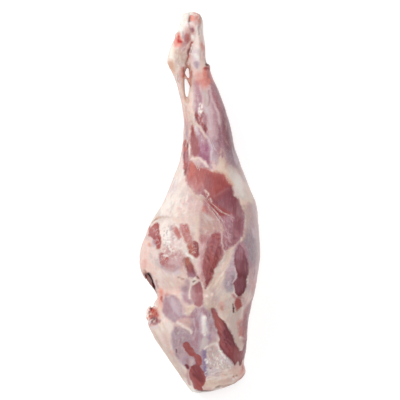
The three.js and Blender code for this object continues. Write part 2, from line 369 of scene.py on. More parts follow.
def inside(points, closed=True, side="outer"):
    """Distance of every point of the skin from an outline in plan: above 0 inside, below 0 outside."""
    plan = PLAN[side]
    if len(points) == 1:
        return -np.minimum(np.hypot(*(plan - points[0]).T), REACH)
    curve = smooth_curve(points, closed)
    near = np.all((plan > curve.min(0) - REACH) & (plan < curve.max(0) + REACH), axis=1)
    p = plan[near]
    nearest = np.full(len(p), REACH**2)
    within = np.zeros(len(p), bool)
    for a, b in zip(curve[:-1], curve[1:]):
        run = b - a
        if not run.any():
            continue
        t = np.clip((p - a) @ run / (run @ run), 0, 1)
        nearest = np.minimum(nearest, ((p - a - t[:, None] * run) ** 2).sum(1))
        if run[1]:
            level = (a[1] > p[:, 1]) != (b[1] > p[:, 1])
            within ^= level & (p[:, 0] < a[0] + (p[:, 1] - a[1]) * run[0] / run[1])
    distance = np.full(count, -REACH)
    distance[near] = np.sqrt(nearest) * (np.where(within, 1, -1) if closed else -1)
    return distance


# %% [markdown]
# The palette names each colour for its tissue. Wet fat is a warm white, never yellow. Silverskin is
# clear, and takes its lilac from the meat under it. Lean runs from a dusty pink, where a film of air
# dries it, to wine red in the muscles that work hardest. The whitest colours also serve for painted
# glints and highlights, and the darkest for painted shade in the fold and in small gaps.

# %% Palette
TISSUE = {
    "gristle and glint": "#FAF6EF", "white fat": "#F6EEE6", "heel cream and highlight": "#F8EBDA", "pale fat": "#EFDFD6",
    "fat": "#E3CEC4", "cream fat": "#E1CAB9", "peach fat": "#E8CBBB", "dull fat": "#CFBAB1",
    "grey fat": "#CFC5C0", "tan fat": "#C6A898", "pink fat": "#ECCEC4", "rosy fat": "#D5AEA9",
    "gold rim": "#CFA084", "tendon": "#DFC7BD", "sheath": "#CCB8B6", "tan film": "#C09F96",
    "lilac film": "#B399A3", "pale lilac": "#D5C4CC", "blue film": "#9F9099", "grey film": "#98828A",
    "mauve film": "#AE838F", "pink film": "#D3B5B8", "dark mauve": "#895F6A", "violet film": "#9B5877",
    "blue violet": "#86709A", "plum": "#8A3A5A", "brown edge": "#9C6A55", "salmon": "#D8877A",
    "bright salmon": "#F0A093", "raw red": "#B04640", "blood": "#C01E18", "dark blood and shade": "#5A1A18",
    "shadow": "#330D0B",
    "pink lean": "#C27670", "lean": "#AC5D5A", "red lean": "#9D4B4D", "dull lean": "#AE7377",
    "mauve lean": "#A05F6B", "wine lean": "#81424A", "dark wine": "#682F37", "purple lean": "#8E5763",
    "orange lean": "#BE6E57", "brown lean": "#8C4A42",
}
TISSUE = {name: np.array(linear(value)) for name, value in TISSUE.items()}
cover = np.tile(TISSUE["fat"], (count, 1))
lean = np.tile(TISSUE["lean"], (count, 1))
lean_edge = np.full(count, -REACH)
lift = np.zeros(count)
mottle = np.full(count, 0.15)
grain = place[:, [1, 0, 2]].copy()
print("tissues:", len(TISSUE))

# %% [markdown]
# ### Three ways to put paint on
#
# `paint` fills an outline or follows a line. With a brush it leaves dry bristle marks that run at an
# angle, which is how films, fat and sinew really part. `bare` opens the cover over the lean. Its edge
# may be sharp, as a knife leaves it, or soft, where the fat thins out to nothing. `dots` sets small
# spots, such as drops, crumbs and painted glints. `paint_all` takes a list of strokes. Each names its
# tissue, how soft its edge is in mm, how strong it is from 0 to 1, and its points. A number after them
# makes it a line of that width, a second one raises it, and four in brackets are a brush.

# %% Brushes
bristle_marks = {}


def bristles(angle, length, thickness, share):
    """Marks in mm that run at an angle in plan. Share is how much of the area they cover."""
    key = (angle, length, thickness)
    if key not in bristle_marks:
        turn = math.radians(angle)
        x, y = (place[:, :2] + shake * 1.5).T
        along = x * math.cos(turn) + y * math.sin(turn)
        across = y * math.cos(turn) - x * math.sin(turn)
        where = np.column_stack([along / length, across / thickness, place[:, 2] / max(thickness, 4)])
        bristle_marks[key] = wander(1, angle * 0.37, where)
    return soft_step(bristle_marks[key] + 1.1 * (share - 0.5), 0.32)


def paint(layer, tissue, soft, amount, points, width=None, raised=0.0, brush=None, side="outer"):
    """Brushes a tissue on a layer: inside an outline or, with a width, along a line."""
    depth = inside(points, width is None, side) + (width or 0) / 2
    mask = soft_step(depth, soft * (1 + 2 * wall)) * MASK[side] * amount
    if brush:
        mask *= bristles(*brush)
    layer += mask[:, None] * (TISSUE[tissue] - layer)
    lift[:] += mask * raised


def paint_all(layer, strokes, side="outer"):
    """Paints strokes: tissue, softness, amount and points, then a width and height, or a brush, or all."""
    for tissue, soft, amount, points, *more in strokes:
        brush = more.pop() if more and isinstance(more[-1], tuple) else None
        width = more[0] if more else None
        raised = more[1] if len(more) > 1 else 0.0
        paint(layer, tissue, soft, amount, points, width, raised, brush, side)
    print("strokes:", len(strokes))


def dots(layer, spots):
    """Spots: tissue, x, y and width in mm, and how far they stand up."""
    for tissue, x, y, width, raised in spots:
        paint(layer, tissue, 1.5, 0.9, [(x, y)], width=width, raised=raised)


SIDE_FADE = 30  # how steeply a bare patch ends where its side of the leg does
FARTHEST_EDGE = -5  # softnesses outside a patch, beyond which nothing of it is stored


def bare(tissue, grain_angle, soft, points, side="outer"):
    """Opens the cover over lean. The grain runs at grain_angle degrees from +X."""
    depth = np.minimum(inside(points, True, side), (MASK[side] - 0.5) * SIDE_FADE) / soft
    here = (depth > lean_edge) & (depth > FARTHEST_EDGE)
    lean_edge[here] = depth[here]
    lean[here] = TISSUE[tissue]
    turn = math.radians(grain_angle)
    x, y, z = place[here].T
    grain[here] = np.column_stack(
        [x * math.cos(turn) + y * math.sin(turn), y * math.cos(turn) - x * math.sin(turn), z]
    )


# %% [markdown]
# ### The ground colour
#
# A carcass is chilled and handled, so even its plain fat drifts in colour: whiter where it is thick,
# rosier where it is thin. Slow noise gives that all over, before any patch is painted.

# %% Ground colour
for tissue, size, level, shift in (
    ("pale fat", 24, 0.0, 31), ("rosy fat", 17, 0.35, 37), ("grey fat", 13, 0.4, 43),
    ("white fat", 9, 0.45, 53), ("lilac film", 20, 0.55, 59),
):
    share = soft_step(wander(size, shift) - level, 0.3) * 0.7
    cover += share[:, None] * (TISSUE[tissue] - cover)

# %% [markdown]
# ### The fat and film over the thigh
#
# The broad back of the thigh carries the palest fat. Beside the knee the fat is thinner and tan, and
# on the flank it gives way to silverskin, which greys towards the edge, partly as painted shade where
# the flank turns from the light. The order is a painter's: the large soft areas first, then the
# smaller ones on top.

# %% Thigh cover
KNEE_VEIL = [(12, -2), (24, -12), (42, -22), (44, -46), (34, -42), (20, -20)]
THIGH_COVER = [  # tissue, softness, amount, outline or line, then width, height or brush
    ("pale fat", 8, 1.0, [(-24, 60), (-38, 48), (-52, 22), (-62, -4), (-80, -26), (-52, -34), (-22, -30),
        (-4, -42), (-2, -12), (-5, 8), (-20, 22), (-22, 44)]),
    ("white fat", 7, 0.8, [(-42, 24), (-60, 0), (-76, -22), (-45, -16), (-32, 0), (-28, 18)]),
    ("white fat", 5, 0.7, [(-25, 42), (-22, 20), (-14, 8), (-34, -2), (-44, 20)], (65, 26, 3.5, 0.5)),
    ("pale lilac", 5, 0.7, [(-42, 38), (-34, 38), (-33, 20), (-38, 12), (-45, 20)], (68, 18, 4, 0.7)),
    ("pale lilac", 6, 0.8, [(-20, 15), (-6, 8), (-2, -6), (-8, -18), (-20, -8)], (68, 14, 4, 0.6)),
    ("pink fat", 6, 0.6, [(-30, 8), (-8, 4), (-4, -24), (-26, -30), (-44, -20)], (66, 18, 3.5, 0.4)),
    ("rosy fat", 6, 0.6, [(-22, 16), (-10, 20), (1, 8), (-1, -20), (-8, -34), (-26, -28), (-26, -6)]),
    ("pale fat", 3, 0.5, [(-22, 12), (-6, 12), (-4, -30), (-24, -28)], (66, 12, 3, 0.35)),
    ("fat", 6, 0.7, [(-26, -6), (-8, -10), (-3, -28), (-10, -36), (-26, -22)]),
    ("grey fat", 4, 0.5, [(-60, 0), (-20, 30), (-4, -8), (-14, -26), (-60, -20)], (62, 9, 5, 0.3)),
    ("white fat", 4, 0.6, [(-60, 0), (-20, 30), (-17, 0), (-20, -20), (-60, -16)], (62, 7, 4, 0.28)),
    ("rosy fat", 4, 0.4, [(-14, 8), (0, 4), (-1, -14), (-14, -12)]),
    ("grey fat", 4, 0.6, [(-60, -20), (-40, -22), (-40, -32), (-58, -32)]),
    ("tan fat", 2.5, 0.8, [(-12, 18), (-3, 8), (4, 4), (10, -3)], 7),
    ("pink fat", 2.5, 0.7, [(-14, 19), (-6, 12), (0, 6)], 3),
    ("cream fat", 2.5, 0.9, [(-3, -22), (-2.5, -38), (-3, -52)], 5),
    # beside and above the knee
    ("dull fat", 6, 1.0, [(14, 70), (34, 78), (52, 62), (70, 34), (84, 6), (72, -4), (62, -3), (55, 10),
        (48, 27), (40, 43), (26, 47), (13, 52)]),
    ("cream fat", 4, 0.85, [(22, 60), (34, 68), (38, 52), (45, 38), (38, 41), (24, 46)]),
    ("grey fat", 5, 0.95, [(42, 48), (56, 42), (66, 24), (74, 6), (62, 0), (54, 12), (48, 29)]),
    ("rosy fat", 2.5, 0.7, [(56, 44), (61, 30), (69, 12)], 3.5),
    ("white fat", 4, 0.45, [(52, 40), (62, 34), (66, 12), (58, 10), (50, 26)]),
    ("rosy fat", 3, 0.7, [(18, 60), (21, 48), (22, 44)], 6),
    ("cream fat", 5, 0.6, [(66, 20), (76, 14), (82, -2), (74, -4), (66, 4)]),
    ("peach fat", 3.5, 0.8, [(56, 5), (66, 3), (70, -6), (63, -10), (58, -2)]),
    ("tan fat", 2, 0.85, [(63, -6), (67, -16), (67.5, -28), (66, -42), (61, -57)], 4),
    ("mauve film", 2, 0.35, [(64, -14), (66, -28), (64, -44)], 4),
    # silverskin on the flank, its grey partly painted shade where the flank turns from the light
    ("grey film", 4, 0.95, [(67, -6), (75, -3), (84, -14), (92, -40), (92, -84), (90, -112), (80, -127),
        (73, -124), (71, -100), (70, -84), (66, -70), (61, -60), (67, -44), (69, -22)]),
    ("rosy fat", 5, 0.6, [(68, -2), (78, -4), (82, -20), (80, -40), (72, -40), (69, -20)]),
    ("lilac film", 4, 0.7, [(70, -30), (80, -30), (80, -70), (72, -84), (66, -64)], (92, 24, 4, 0.5)),
    ("blue film", 3, 0.7, [(63, -54), (70, -48), (76, -66), (76, -96), (71, -92), (68, -72)],
        (92, 20, 4, 0.6)),
    ("pale lilac", 3, 0.75, [(79, -12), (84, -30), (86, -60), (85, -92), (83, -116)], 7),
    ("tan fat", 3, 0.6, [(86, -20), (90, -60), (89, -100), (84, -120)], 5),
    ("pale lilac", 2, 0.7, [(77, -43), (78, -48)], 4),
    ("mauve film", 4, 0.6, [(70, -88), (80, -90), (82, -118), (74, -130), (68, -112)]),
    ("rosy fat", 4, 0.6, [(72, -98), (82, -94), (84, -114), (78, -134), (69, -132)], (96, 22, 3.5, 0.55)),
    ("salmon", 2.5, 0.45, [(76, -117), (76, -124)], 4),
    # between the flank and the middle
    ("blue film", 3.5, 1.0, [(51, -86), (44, -84), (39, -92), (35, -104), (34, -115), (37, -126),
        (42, -130), (48, -126), (49, -118), (52, -108)]),
    ("pale lilac", 3, 0.4, [(50, -86), (42, -94), (38, -118), (46, -124), (51, -106)],
        (62, 16, 2.6, 0.4)),
    ("cream fat", 3.5, 0.95, [(58, -54), (50, -62), (42, -68), (36, -77), (32, -86), (27, -96),
        (22, -103), (17, -113), (10, -125), (9, -132), (20, -130), (30, -118), (38, -103), (44, -87),
        (49, -72)]),
    ("pale fat", 3, 0.6, [(54, -58), (38, -76), (24, -102), (30, -112), (44, -86)], (57, 22, 2.8, 0.45)),
    ("dull fat", 3, 0.6, [(56, -56), (44, -66), (28, -96), (14, -124), (30, -118), (46, -82)],
        (57, 18, 3.2, 0.4)),
    ("tan fat", 4, 0.5, [(10, -116), (26, -110), (32, -126), (14, -134)], (62, 14, 3, 0.6)),
    ("lilac film", 3, 0.9, [(52, -60), (48, -68), (45, -80), (40, -92), (36, -106), (48, -110),
        (54, -104), (52, -84), (54, -68)]),
    ("mauve film", 2.5, 1.0, [(54, -58), (61, -57), (68, -70), (72, -86), (70, -92), (62, -76), (52, -72),
        (50, -66)]),
    ("blue film", 2.5, 0.9, [(47, -98), (54, -100), (53, -108), (48, -114), (44, -112)]),
    ("dark mauve", 2.5, 0.5, [(48, -106), (47, -116)], 5),
    ("pink film", 1.3, 0.8, [(49.5, -92), (52, -101), (50, -109), (47.5, -114)], 2.4, 0.4),
    # the thin tan film over the middle of the thigh
    ("tan film", 3.5, 1.0, [(0, -14), (6, -5), (12, -5), (20, -15), (28, -24), (36, -34), (41, -46),
        (34, -47), (28, -42), (18, -44), (12, -48), (9, -56), (2, -55), (-1, -48), (0, -30)]),
    ("sheath", 3, 0.5, [(2, -16), (12, -14), (26, -34), (24, -44), (10, -44), (3, -34)],
        (-50, 16, 3, 0.4)),
    ("mauve film", 3, 0.5, [(20, -24), (28, -30), (30, -44), (20, -46)], (-55, 14, 3, 0.5)),
    ("dull lean", 3, 0.4, [(8, -40), (24, -40), (20, -50), (8, -56)], (10, 9, 3, 0.5)),
    ("grey fat", 3, 0.4, [(4, -18), (14, -16), (24, -28), (12, -30)], (-60, 12, 3, 0.4)),
    ("mauve film", 2, 0.4, [(1.5, -24), (2, -46)], 3),
    ("dull lean", 3, 1.0, [(5, 2), (12, 2), (24, -12), (31, -26), (22, -24), (14, -17), (8, -15), (5, -8)]),
    ("dull lean", 3, 0.9, [(1, -48), (12, -47), (12, -54), (8, -62), (1, -60)]),
    ("rosy fat", 2.5, 0.6, [(10, 1), (20, -8), (30, -17), (40, -24), (42, -44), (35, -44), (28, -32),
        (16, -14)]),
    ("pale fat", 2, 0.7, KNEE_VEIL,
        None, 0.2, (-53, 20, 2.1, 0.32)),
    ("brown edge", 1.2, 0.6, [(15, -11), (24, -24), (30, -33), (36, -42), (40, -48)], 1.6, -0.4),
    ("salmon", 3, 0.5, [(5.5, -9), (5.5, -12)], 6),
    # the crease at the back
    ("tan fat", 1.3, 0.8, [(-64, -24), (-54, -21.5), (-42, -22)], 1.8, -0.8),
    ("brown edge", 1.3, 0.9, [(-70, -29), (-66, -26), (-62, -23)], 2.4, -0.8),
    ("gold rim", 2, 0.6, [(-62, -22), (-58, -21)], 3),
]
paint_all(cover, THIGH_COVER)

# %% [markdown]
# ### Below the thigh
#
# Towards the tail the fat is pinker and thin enough to show meat in flecks. The rump has broad lilac
# films over its muscles, and the chump ends in lumpy fat.

# %% Cover of the lower thigh
TAIL_COVER = [
    ("pink fat", 7, 1.0, [(-62, -36), (-84, -50), (-96, -80), (-92, -104), (-76, -118), (-62, -128),
        (-30, -132), (-20, -118), (-22, -104), (-48, -102), (-62, -92), (-70, -70)]),
    ("pale fat", 6, 1.0, [(-54, -26), (-28, -28), (-26, -50), (-18, -70), (-24, -80), (-48, -74),
        (-55, -60)]),
    ("white fat", 4, 0.7, [(-52, -36), (-30, -34), (-22, -60), (-30, -68), (-52, -64)], (75, 9, 4, 0.5)),
    ("pink film", 5, 0.55, [(-50, -34), (-30, -32), (-24, -56), (-30, -74), (-50, -66)]),
    ("mauve film", 3, 0.4, [(-42, -32), (-30, -32), (-26, -50), (-32, -56), (-42, -54)],
        (84, 7, 3.4, 0.5)),
    ("lilac film", 2, 0.6, [(-41, -35), (-38, -42), (-39, -50)], 4),
    ("white fat", 3, 0.9, [(-54, -33), (-44, -31), (-43, -56), (-54, -56)]),
    ("grey film", 2, 0.6, [(-52, -34), (-44, -34), (-42, -62), (-52, -60)], (75, 3.4, 2.4, 0.22)),
    ("white fat", 2, 0.6, [(-42, -32), (-30, -32), (-24, -62), (-34, -70), (-46, -64)], (70, 5, 3, 0.35)),
    ("grey fat", 4, 0.7, [(-70, -68), (-60, -68), (-58, -92), (-64, -98), (-72, -80)],
        (75, 6, 3.4, 0.45)),
    ("rosy fat", 4, 1.0, [(-55, -70), (-46, -63), (-32, -66), (-21, -76), (-22, -94), (-40, -100),
        (-52, -92), (-57, -84)]),
    ("dull lean", 4, 0.4, [(-44, -68), (-30, -70), (-22, -78), (-22, -90), (-36, -94), (-50, -90),
        (-54, -76)]),
    ("lilac film", 3, 0.8, [(-52, -60), (-43, -60), (-41, -72), (-50, -72)], (60, 4, 3, 0.5)),
    ("white fat", 2, 0.8, [(-54, -60), (-42, -56), (-32, -68), (-50, -76)], (60, 4, 2.6, 0.25)),
    ("dull lean", 2.5, 0.95, [(-58, -72), (-50, -72), (-43, -79), (-45, -89), (-54, -90), (-59, -82)],
        (60, 6, 3.2, 0.75)),
    ("lean", 2, 0.6, [(-57, -74), (-50, -74), (-44, -80), (-46, -88), (-56, -86)], (50, 4, 2.4, 0.45)),
    ("pink film", 3, 0.6, [(-42, -81), (-32, -77), (-26, -83), (-29, -92), (-40, -92), (-46, -87)]),
    ("dull lean", 2, 0.5, [(-50, -89), (-44, -91), (-37, -90)], 4.5),
    ("lilac film", 2.5, 0.6, [(-53, -92), (-46, -97), (-38, -98), (-30, -93)], 6.5),
    ("pale lilac", 3, 0.8, [(-52, -98), (-40, -103), (-30, -99)], 4),
    ("raw red", 1.5, 0.8, [(-49, -81), (-46, -81)], 3),
    # painted glint on the red flecks, in gristle white
    ("gristle and glint", 1.4, 0.9, [(-51, -75.5), (-46, -76.5)], 2.6, 0.5),
    ("salmon", 2.5, 0.45, [(-79, -84), (-80, -92)], 6),
    ("salmon", 1.8, 0.8, [(-72, -60), (-71.5, -62)], 4),
    ("lilac film", 2, 0.9, [(-68, -54), (-62, -55), (-61, -61), (-65, -60)]),
    ("pale fat", 3, 0.8, [(-74, -66), (-64, -64), (-58, -72), (-62, -80)]),
    ("lilac film", 2.5, 0.6, [(-80, -46), (-75, -53)], 3.5),
    ("peach fat", 3, 0.6, [(-36, -25), (-28, -27)], 6),
    ("rosy fat", 3, 1.0, [(-2, -60), (9, -58), (9, -70), (6, -98), (8, -124), (0, -112), (-7, -104),
        (-6, -92), (-1, -82), (0, -66)]),
    ("pink film", 2.5, 0.6, [(-3, -54), (6, -60), (3, -100), (-8, -96)], (84, 14, 2.6, 0.45)),
    ("dull lean", 2, 0.45, [(2, -54), (9, -58), (8, -76), (5, -98), (8, -120), (2, -110), (1, -84)],
        (84, 12, 2.2, 0.5)),
    ("fat", 3, 0.6, [(-16, -76), (-9, -81), (-3, -90), (-1, -100), (-5, -100), (-8, -90)]),
    ("fat", 5, 0.6, [(-56, -104), (-34, -106), (-34, -122), (-56, -122)]),
    ("rosy fat", 5, 0.25, [(-32, -106), (-20, -106), (-16, -124), (-32, -126)]),
    ("pale fat", 5, 0.8, [(-62, -96), (-50, -98), (-30, -104), (-22, -110), (-34, -118), (-62, -118)],
        (120, 20, 4, 0.65)),
    ("lilac film", 3.5, 0.9, [(-26, -120), (-17, -119), (-15.5, -134), (-20, -141), (-26, -133)]),
    ("mauve film", 2.5, 0.6, [(-18, -112), (-14, -118)], 6),
    ("mauve film", 3, 0.5, [(-22, -122), (-14, -122), (-12, -140), (-22, -142)]),
    ("pale fat", 1.3, 0.9, [(-11, -113), (-13.5, -122), (-14.5, -136)], 2.4, 0.4),
    # white connective tissue with painted glints on it
    ("gristle and glint", 1.5, 0.9, [(-19, -73), (-15, -76), (-11, -79)], 3, 0.6),
    ("brown edge", 1.3, 0.7, [(-31, -107), (-28, -108)], 2, -0.4),
    ("brown edge", 1.3, 0.7, [(-25, -109), (-23, -109)], 2, -0.4),
    # painted shade in two small crevices, which are also sunk
    ("dark wine", 1.2, 0.9, [(-9, -113), (-6, -111.5)], 2, -1.0),
    ("dark wine", 1.2, 0.9, [(-4, -106), (-2, -109)], 2, -1.0),
    ("white fat", 1.3, 0.9, [(-7, -107), (-6, -110)], 2.6, 0.5),
    ("white fat", 1.3, 0.9, [(3, -115), (4, -119)], 2.4, 0.5),
    ("salmon", 2.5, 0.4, [(-76, -101), (-77, -106)], 3.4),
]
paint_all(cover, TAIL_COVER)

# %% Cover of the rump
RUMP_COVER = [
    ("dull fat", 7, 1.0, [(10, -126), (30, -122), (48, -132), (68, -130), (72, -150), (66, -205),
        (50, -200), (40, -172), (26, -158), (12, -148)]),
    ("cream fat", 4, 0.6, [(12, -128), (30, -124), (46, -140), (44, -168), (34, -166), (22, -150)],
        (72, 20, 4, 0.5)),
    ("grey fat", 4, 0.6, [(20, -126), (46, -134), (48, -166), (30, -150)], (72, 16, 3.6, 0.45)),
    ("mauve film", 3, 0.4, [(17, -124), (26, -124), (24, -146), (17, -144)], (80, 10, 3.4, 0.6)),
    ("rosy fat", 4, 0.9, [(64, -134), (78, -130), (76, -152), (66, -158)], (96, 24, 3, 0.65)),
    ("pale fat", 4, 0.5, [(62, -136), (70, -136), (64, -166), (58, -160)], (84, 20, 3, 0.6)),
    ("salmon", 3, 0.5, [(27, -143), (34, -142), (35, -153), (30, -155)]),
    ("brown edge", 1.5, 0.5, [(31, -149), (32, -153)], 3),
    ("salmon", 3, 0.75, [(54, -171), (62, -168), (62, -192), (57, -195), (54, -184)],
        (88, 12, 3.2, 0.75)),
    ("dull lean", 3, 0.6, [(55, -174), (65, -168), (65, -194), (57, -194)]),
    ("orange lean", 2, 0.5, [(57, -180), (61, -178), (60, -191), (57, -190)]),
    ("mauve lean", 3.5, 0.85, [(66, -150), (74, -146), (78, -170), (76, -226), (62, -226), (64, -204),
        (63, -180)]),
    ("lean", 2.5, 0.6, [(66, -160), (70, -160), (70, -226), (66, -226)], (92, 16, 2.2, 0.6)),
    ("pink film", 2, 0.4, [(64, -154), (72, -150), (72, -226), (64, -226)], (92, 14, 2, 0.3)),
    ("dull lean", 3, 1.0, [(62.5, -160), (74, -156), (75, -200), (62.5, -200)]),
    ("white fat", 1.8, 0.7, [(58, -194), (60, -195)], 3, 0.4),
    ("mauve film", 2, 0.6, [(62, -136), (63, -147)], 3),
    ("dull lean", 2, 1.0, [(48, -132), (51, -135.5), (58, -135.5)], 4),
    ("tan fat", 3, 0.5, [(5, -138), (20, -140), (20, -152), (8, -150)]),
    ("wine lean", 3, 0.7, [(65.5, -158), (74, -154), (76, -206), (65.5, -206)]),
    ("tan fat", 3, 0.5, [(50, -196), (60, -198), (60, -214), (54, -206)]),
    # the two films over the rump
    ("lilac film", 2.5, 1.0, [(-50, -133), (-45, -135), (-38, -132), (-32, -137), (-28, -142),
        (-25, -150), (-23, -165), (-28, -171), (-35, -172), (-42, -168), (-48, -163), (-53, -157),
        (-53, -148), (-51, -140)]),
    # pale lilac in the middle of the film: partly its colour, partly a painted soft highlight
    ("pale lilac", 4, 0.55, [(-42, -137), (-34, -138), (-28, -150), (-29, -164), (-36, -162), (-41, -148)]),
    ("mauve film", 2.5, 0.7, [(-53, -140), (-46, -137), (-44, -150), (-46, -163), (-54, -157)]),
    ("mauve film", 2.5, 0.7, [(-47, -145), (-39, -155), (-30, -165)], 4.5),
    ("mauve film", 2, 0.5, [(-50, -133), (-40, -132), (-31, -138)], 3),
    ("mauve film", 2, 0.8, [(-23, -134), (-14, -143)], 4.5),
    ("pink film", 1.6, 0.85, [(-25, -138), (-23, -150), (-22, -162)], 2.6, 0.4),
    ("rosy fat", 3, 0.8, [(-32, -168), (-14, -163), (-12, -182), (-22, -180)]),
    ("lilac film", 3.5, 1.0, [(-38, -177), (-26, -179), (-14, -184), (-8, -164), (-4, -150), (8, -151),
        (15, -156), (20, -170), (24, -188), (22, -202), (10, -209), (12, -222), (16, -236), (12, -249),
        (4, -244), (-8, -244), (-20, -236), (-30, -227), (-38, -214), (-42, -200), (-41, -188)]),
    ("mauve film", 3, 0.85, [(-13, -158), (-6, -150), (8, -151), (14, -156), (22, -176), (20, -202),
        (2, -208), (-12, -204), (-12, -180)], (93, 20, 3.4, 0.5)),
    ("mauve film", 3, 0.6, [(-13, -160), (-4, -150), (-3, -200), (-12, -200)]),
    ("pale lilac", 3, 0.5, [(-10, -152), (14, -156), (20, -200), (-10, -200)], (93, 16, 2.6, 0.28)),
    ("pink film", 4, 0.6, [(9, -186), (22, -186), (22, -204), (9, -206)]),
    ("pink film", 5, 0.5, [(-34, -200), (-22, -206), (-14, -214), (-14, -230), (-26, -230), (-34, -216)]),
    # pale lilac round the painted highlight on the wet film
    ("pale lilac", 3.5, 0.8, [(2, -162), (9, -164), (12, -182), (8, -188), (2, -184)]),
    ("grey film", 3, 0.5, [(-40, -182), (-28, -182), (-22, -200), (-30, -226), (-40, -206)],
        (88, 12, 4, 0.5)),
    ("grey fat", 3, 0.5, [(-34, -184), (-18, -186), (-16, -196), (-30, -198)], (88, 8, 3.4, 0.4)),
    ("sheath", 1.6, 0.9, [(7, -193), (4, -203), (0, -212)], 3.4),
    ("mauve lean", 2, 0.6, [(4, -142), (3.5, -154)], 3),
    ("grey fat", 3, 0.7, [(4, -194), (11, -196), (9, -208), (3, -206)]),
    ("blue violet", 2, 0.5, [(14, -190), (14, -194)], 5),
    ("blue violet", 3.5, 0.9, [(4, -212), (10, -213), (12, -226), (17, -238), (13, -248), (6, -246),
        (5, -226)]),
    ("blue violet", 3, 0.25, [(-24, -220), (-16, -222), (-18, -234), (-24, -230)]),
    ("mauve film", 2.5, 0.8, [(6, -246), (12, -250), (9, -262), (5, -266)]),
    ("cream fat", 1.2, 1.0, [(-20, -151), (-16, -148), (-9, -145), (-6, -147), (-9, -153), (-11, -157),
        (-16, -160), (-19, -157)], None, 0.6),
    ("mauve film", 2, 0.8, [(-22, -162), (-13, -163), (-7, -161)], 4.5),
    ("dark wine", 1.3, 0.8, [(-33, -210), (-32.5, -214)], 2.6, -0.5),
    ("pale fat", 1.6, 1.0, [(-31, -171), (-25, -176), (-15, -181), (-12, -186)], 4, 0.9),
    # painted highlight down the wet film: a broad pale lilac streak, a white core and glints
    ("pale lilac", 3.5, 0.9, [(6, -164), (7, -172), (8.5, -188)], 8),
    ("white fat", 2, 1.0, [(6, -164), (6.5, -174), (7.5, -184)], 5),
    ("gristle and glint", 1.6, 1.0, [(4, -161), (9, -162), (11, -188), (5, -188)], (92, 6, 2, 0.5)),
    # the fat along the back edge of the rump
    ("pale fat", 4, 1.0, [(-58, -166), (-50, -166), (-38, -176), (-43, -190), (-43, -206), (-38, -222),
        (-22, -238), (-16, -252), (-8, -268), (-12, -282), (-34, -266), (-56, -238), (-78, -200),
        (-88, -180), (-78, -168)]),
    ("cream fat", 4, 0.8, [(-60, -170), (-42, -180), (-42, -214), (-20, -250), (-40, -240), (-64, -200)],
        (122, 28, 4, 0.55)),
    ("pale fat", 4, 0.6, [(-62, -172), (-44, -180), (-46, -208), (-60, -196)], (122, 20, 4, 0.5)),
    ("fat", 5, 0.9, [(-54, -186), (-42, -190), (-40, -216), (-20, -244), (-14, -262), (-26, -258),
        (-46, -220)]),
    ("rosy fat", 5, 0.5, [(-54, -188), (-46, -190), (-44, -204), (-54, -200)]),
    ("pale lilac", 2.5, 0.6, [(-72, -180), (-60, -178)], 5),
    ("tan fat", 2.5, 0.75, [(-68, -186), (-58, -202), (-46, -222), (-32, -243), (-24, -254)], 5),
    ("white fat", 2, 0.9, [(-20, -254), (-16, -262), (-9, -271)], 6),
    ("dull fat", 2, 0.8, [(-46, -210), (-38, -222), (-26, -240), (-14, -262)], 4),
    ("salmon", 2, 0.35, [(-41, -213), (-38, -217)], 4),
    ("dull lean", 2, 0.6, [(-18, -226), (-16, -238), (-18, -250), (-14, -262)], 4),
    ("sheath", 2, 0.9, [(-15, -226), (-9, -224), (-9, -232), (-14, -234)]),
    # torn edge towards the tail end
    ("peach fat", 2, 1.0, [(-56.5, -126), (-56.5, -136), (-58, -152)], 8),
    ("bright salmon", 2, 1.0, [(-55.5, -126), (-55.5, -136), (-57.5, -150)], 5, 0.5),
    ("salmon", 3, 0.5, [(-56, -130), (-47, -131)], 5),
    ("raw red", 1.3, 1.0, [(-54, -136), (-54, -142)], 3),
    ("peach fat", 2, 0.9, [(-57, -152), (-56, -163)], 5),
    ("pale fat", 2, 0.9, [(-63, -138), (-66, -148)], 5),
    # painted glints beside the highlight on the film
    ("pale lilac", 3, 0.35, [(11, -172), (12, -180)], 4),
]
paint_all(cover, RUMP_COVER)

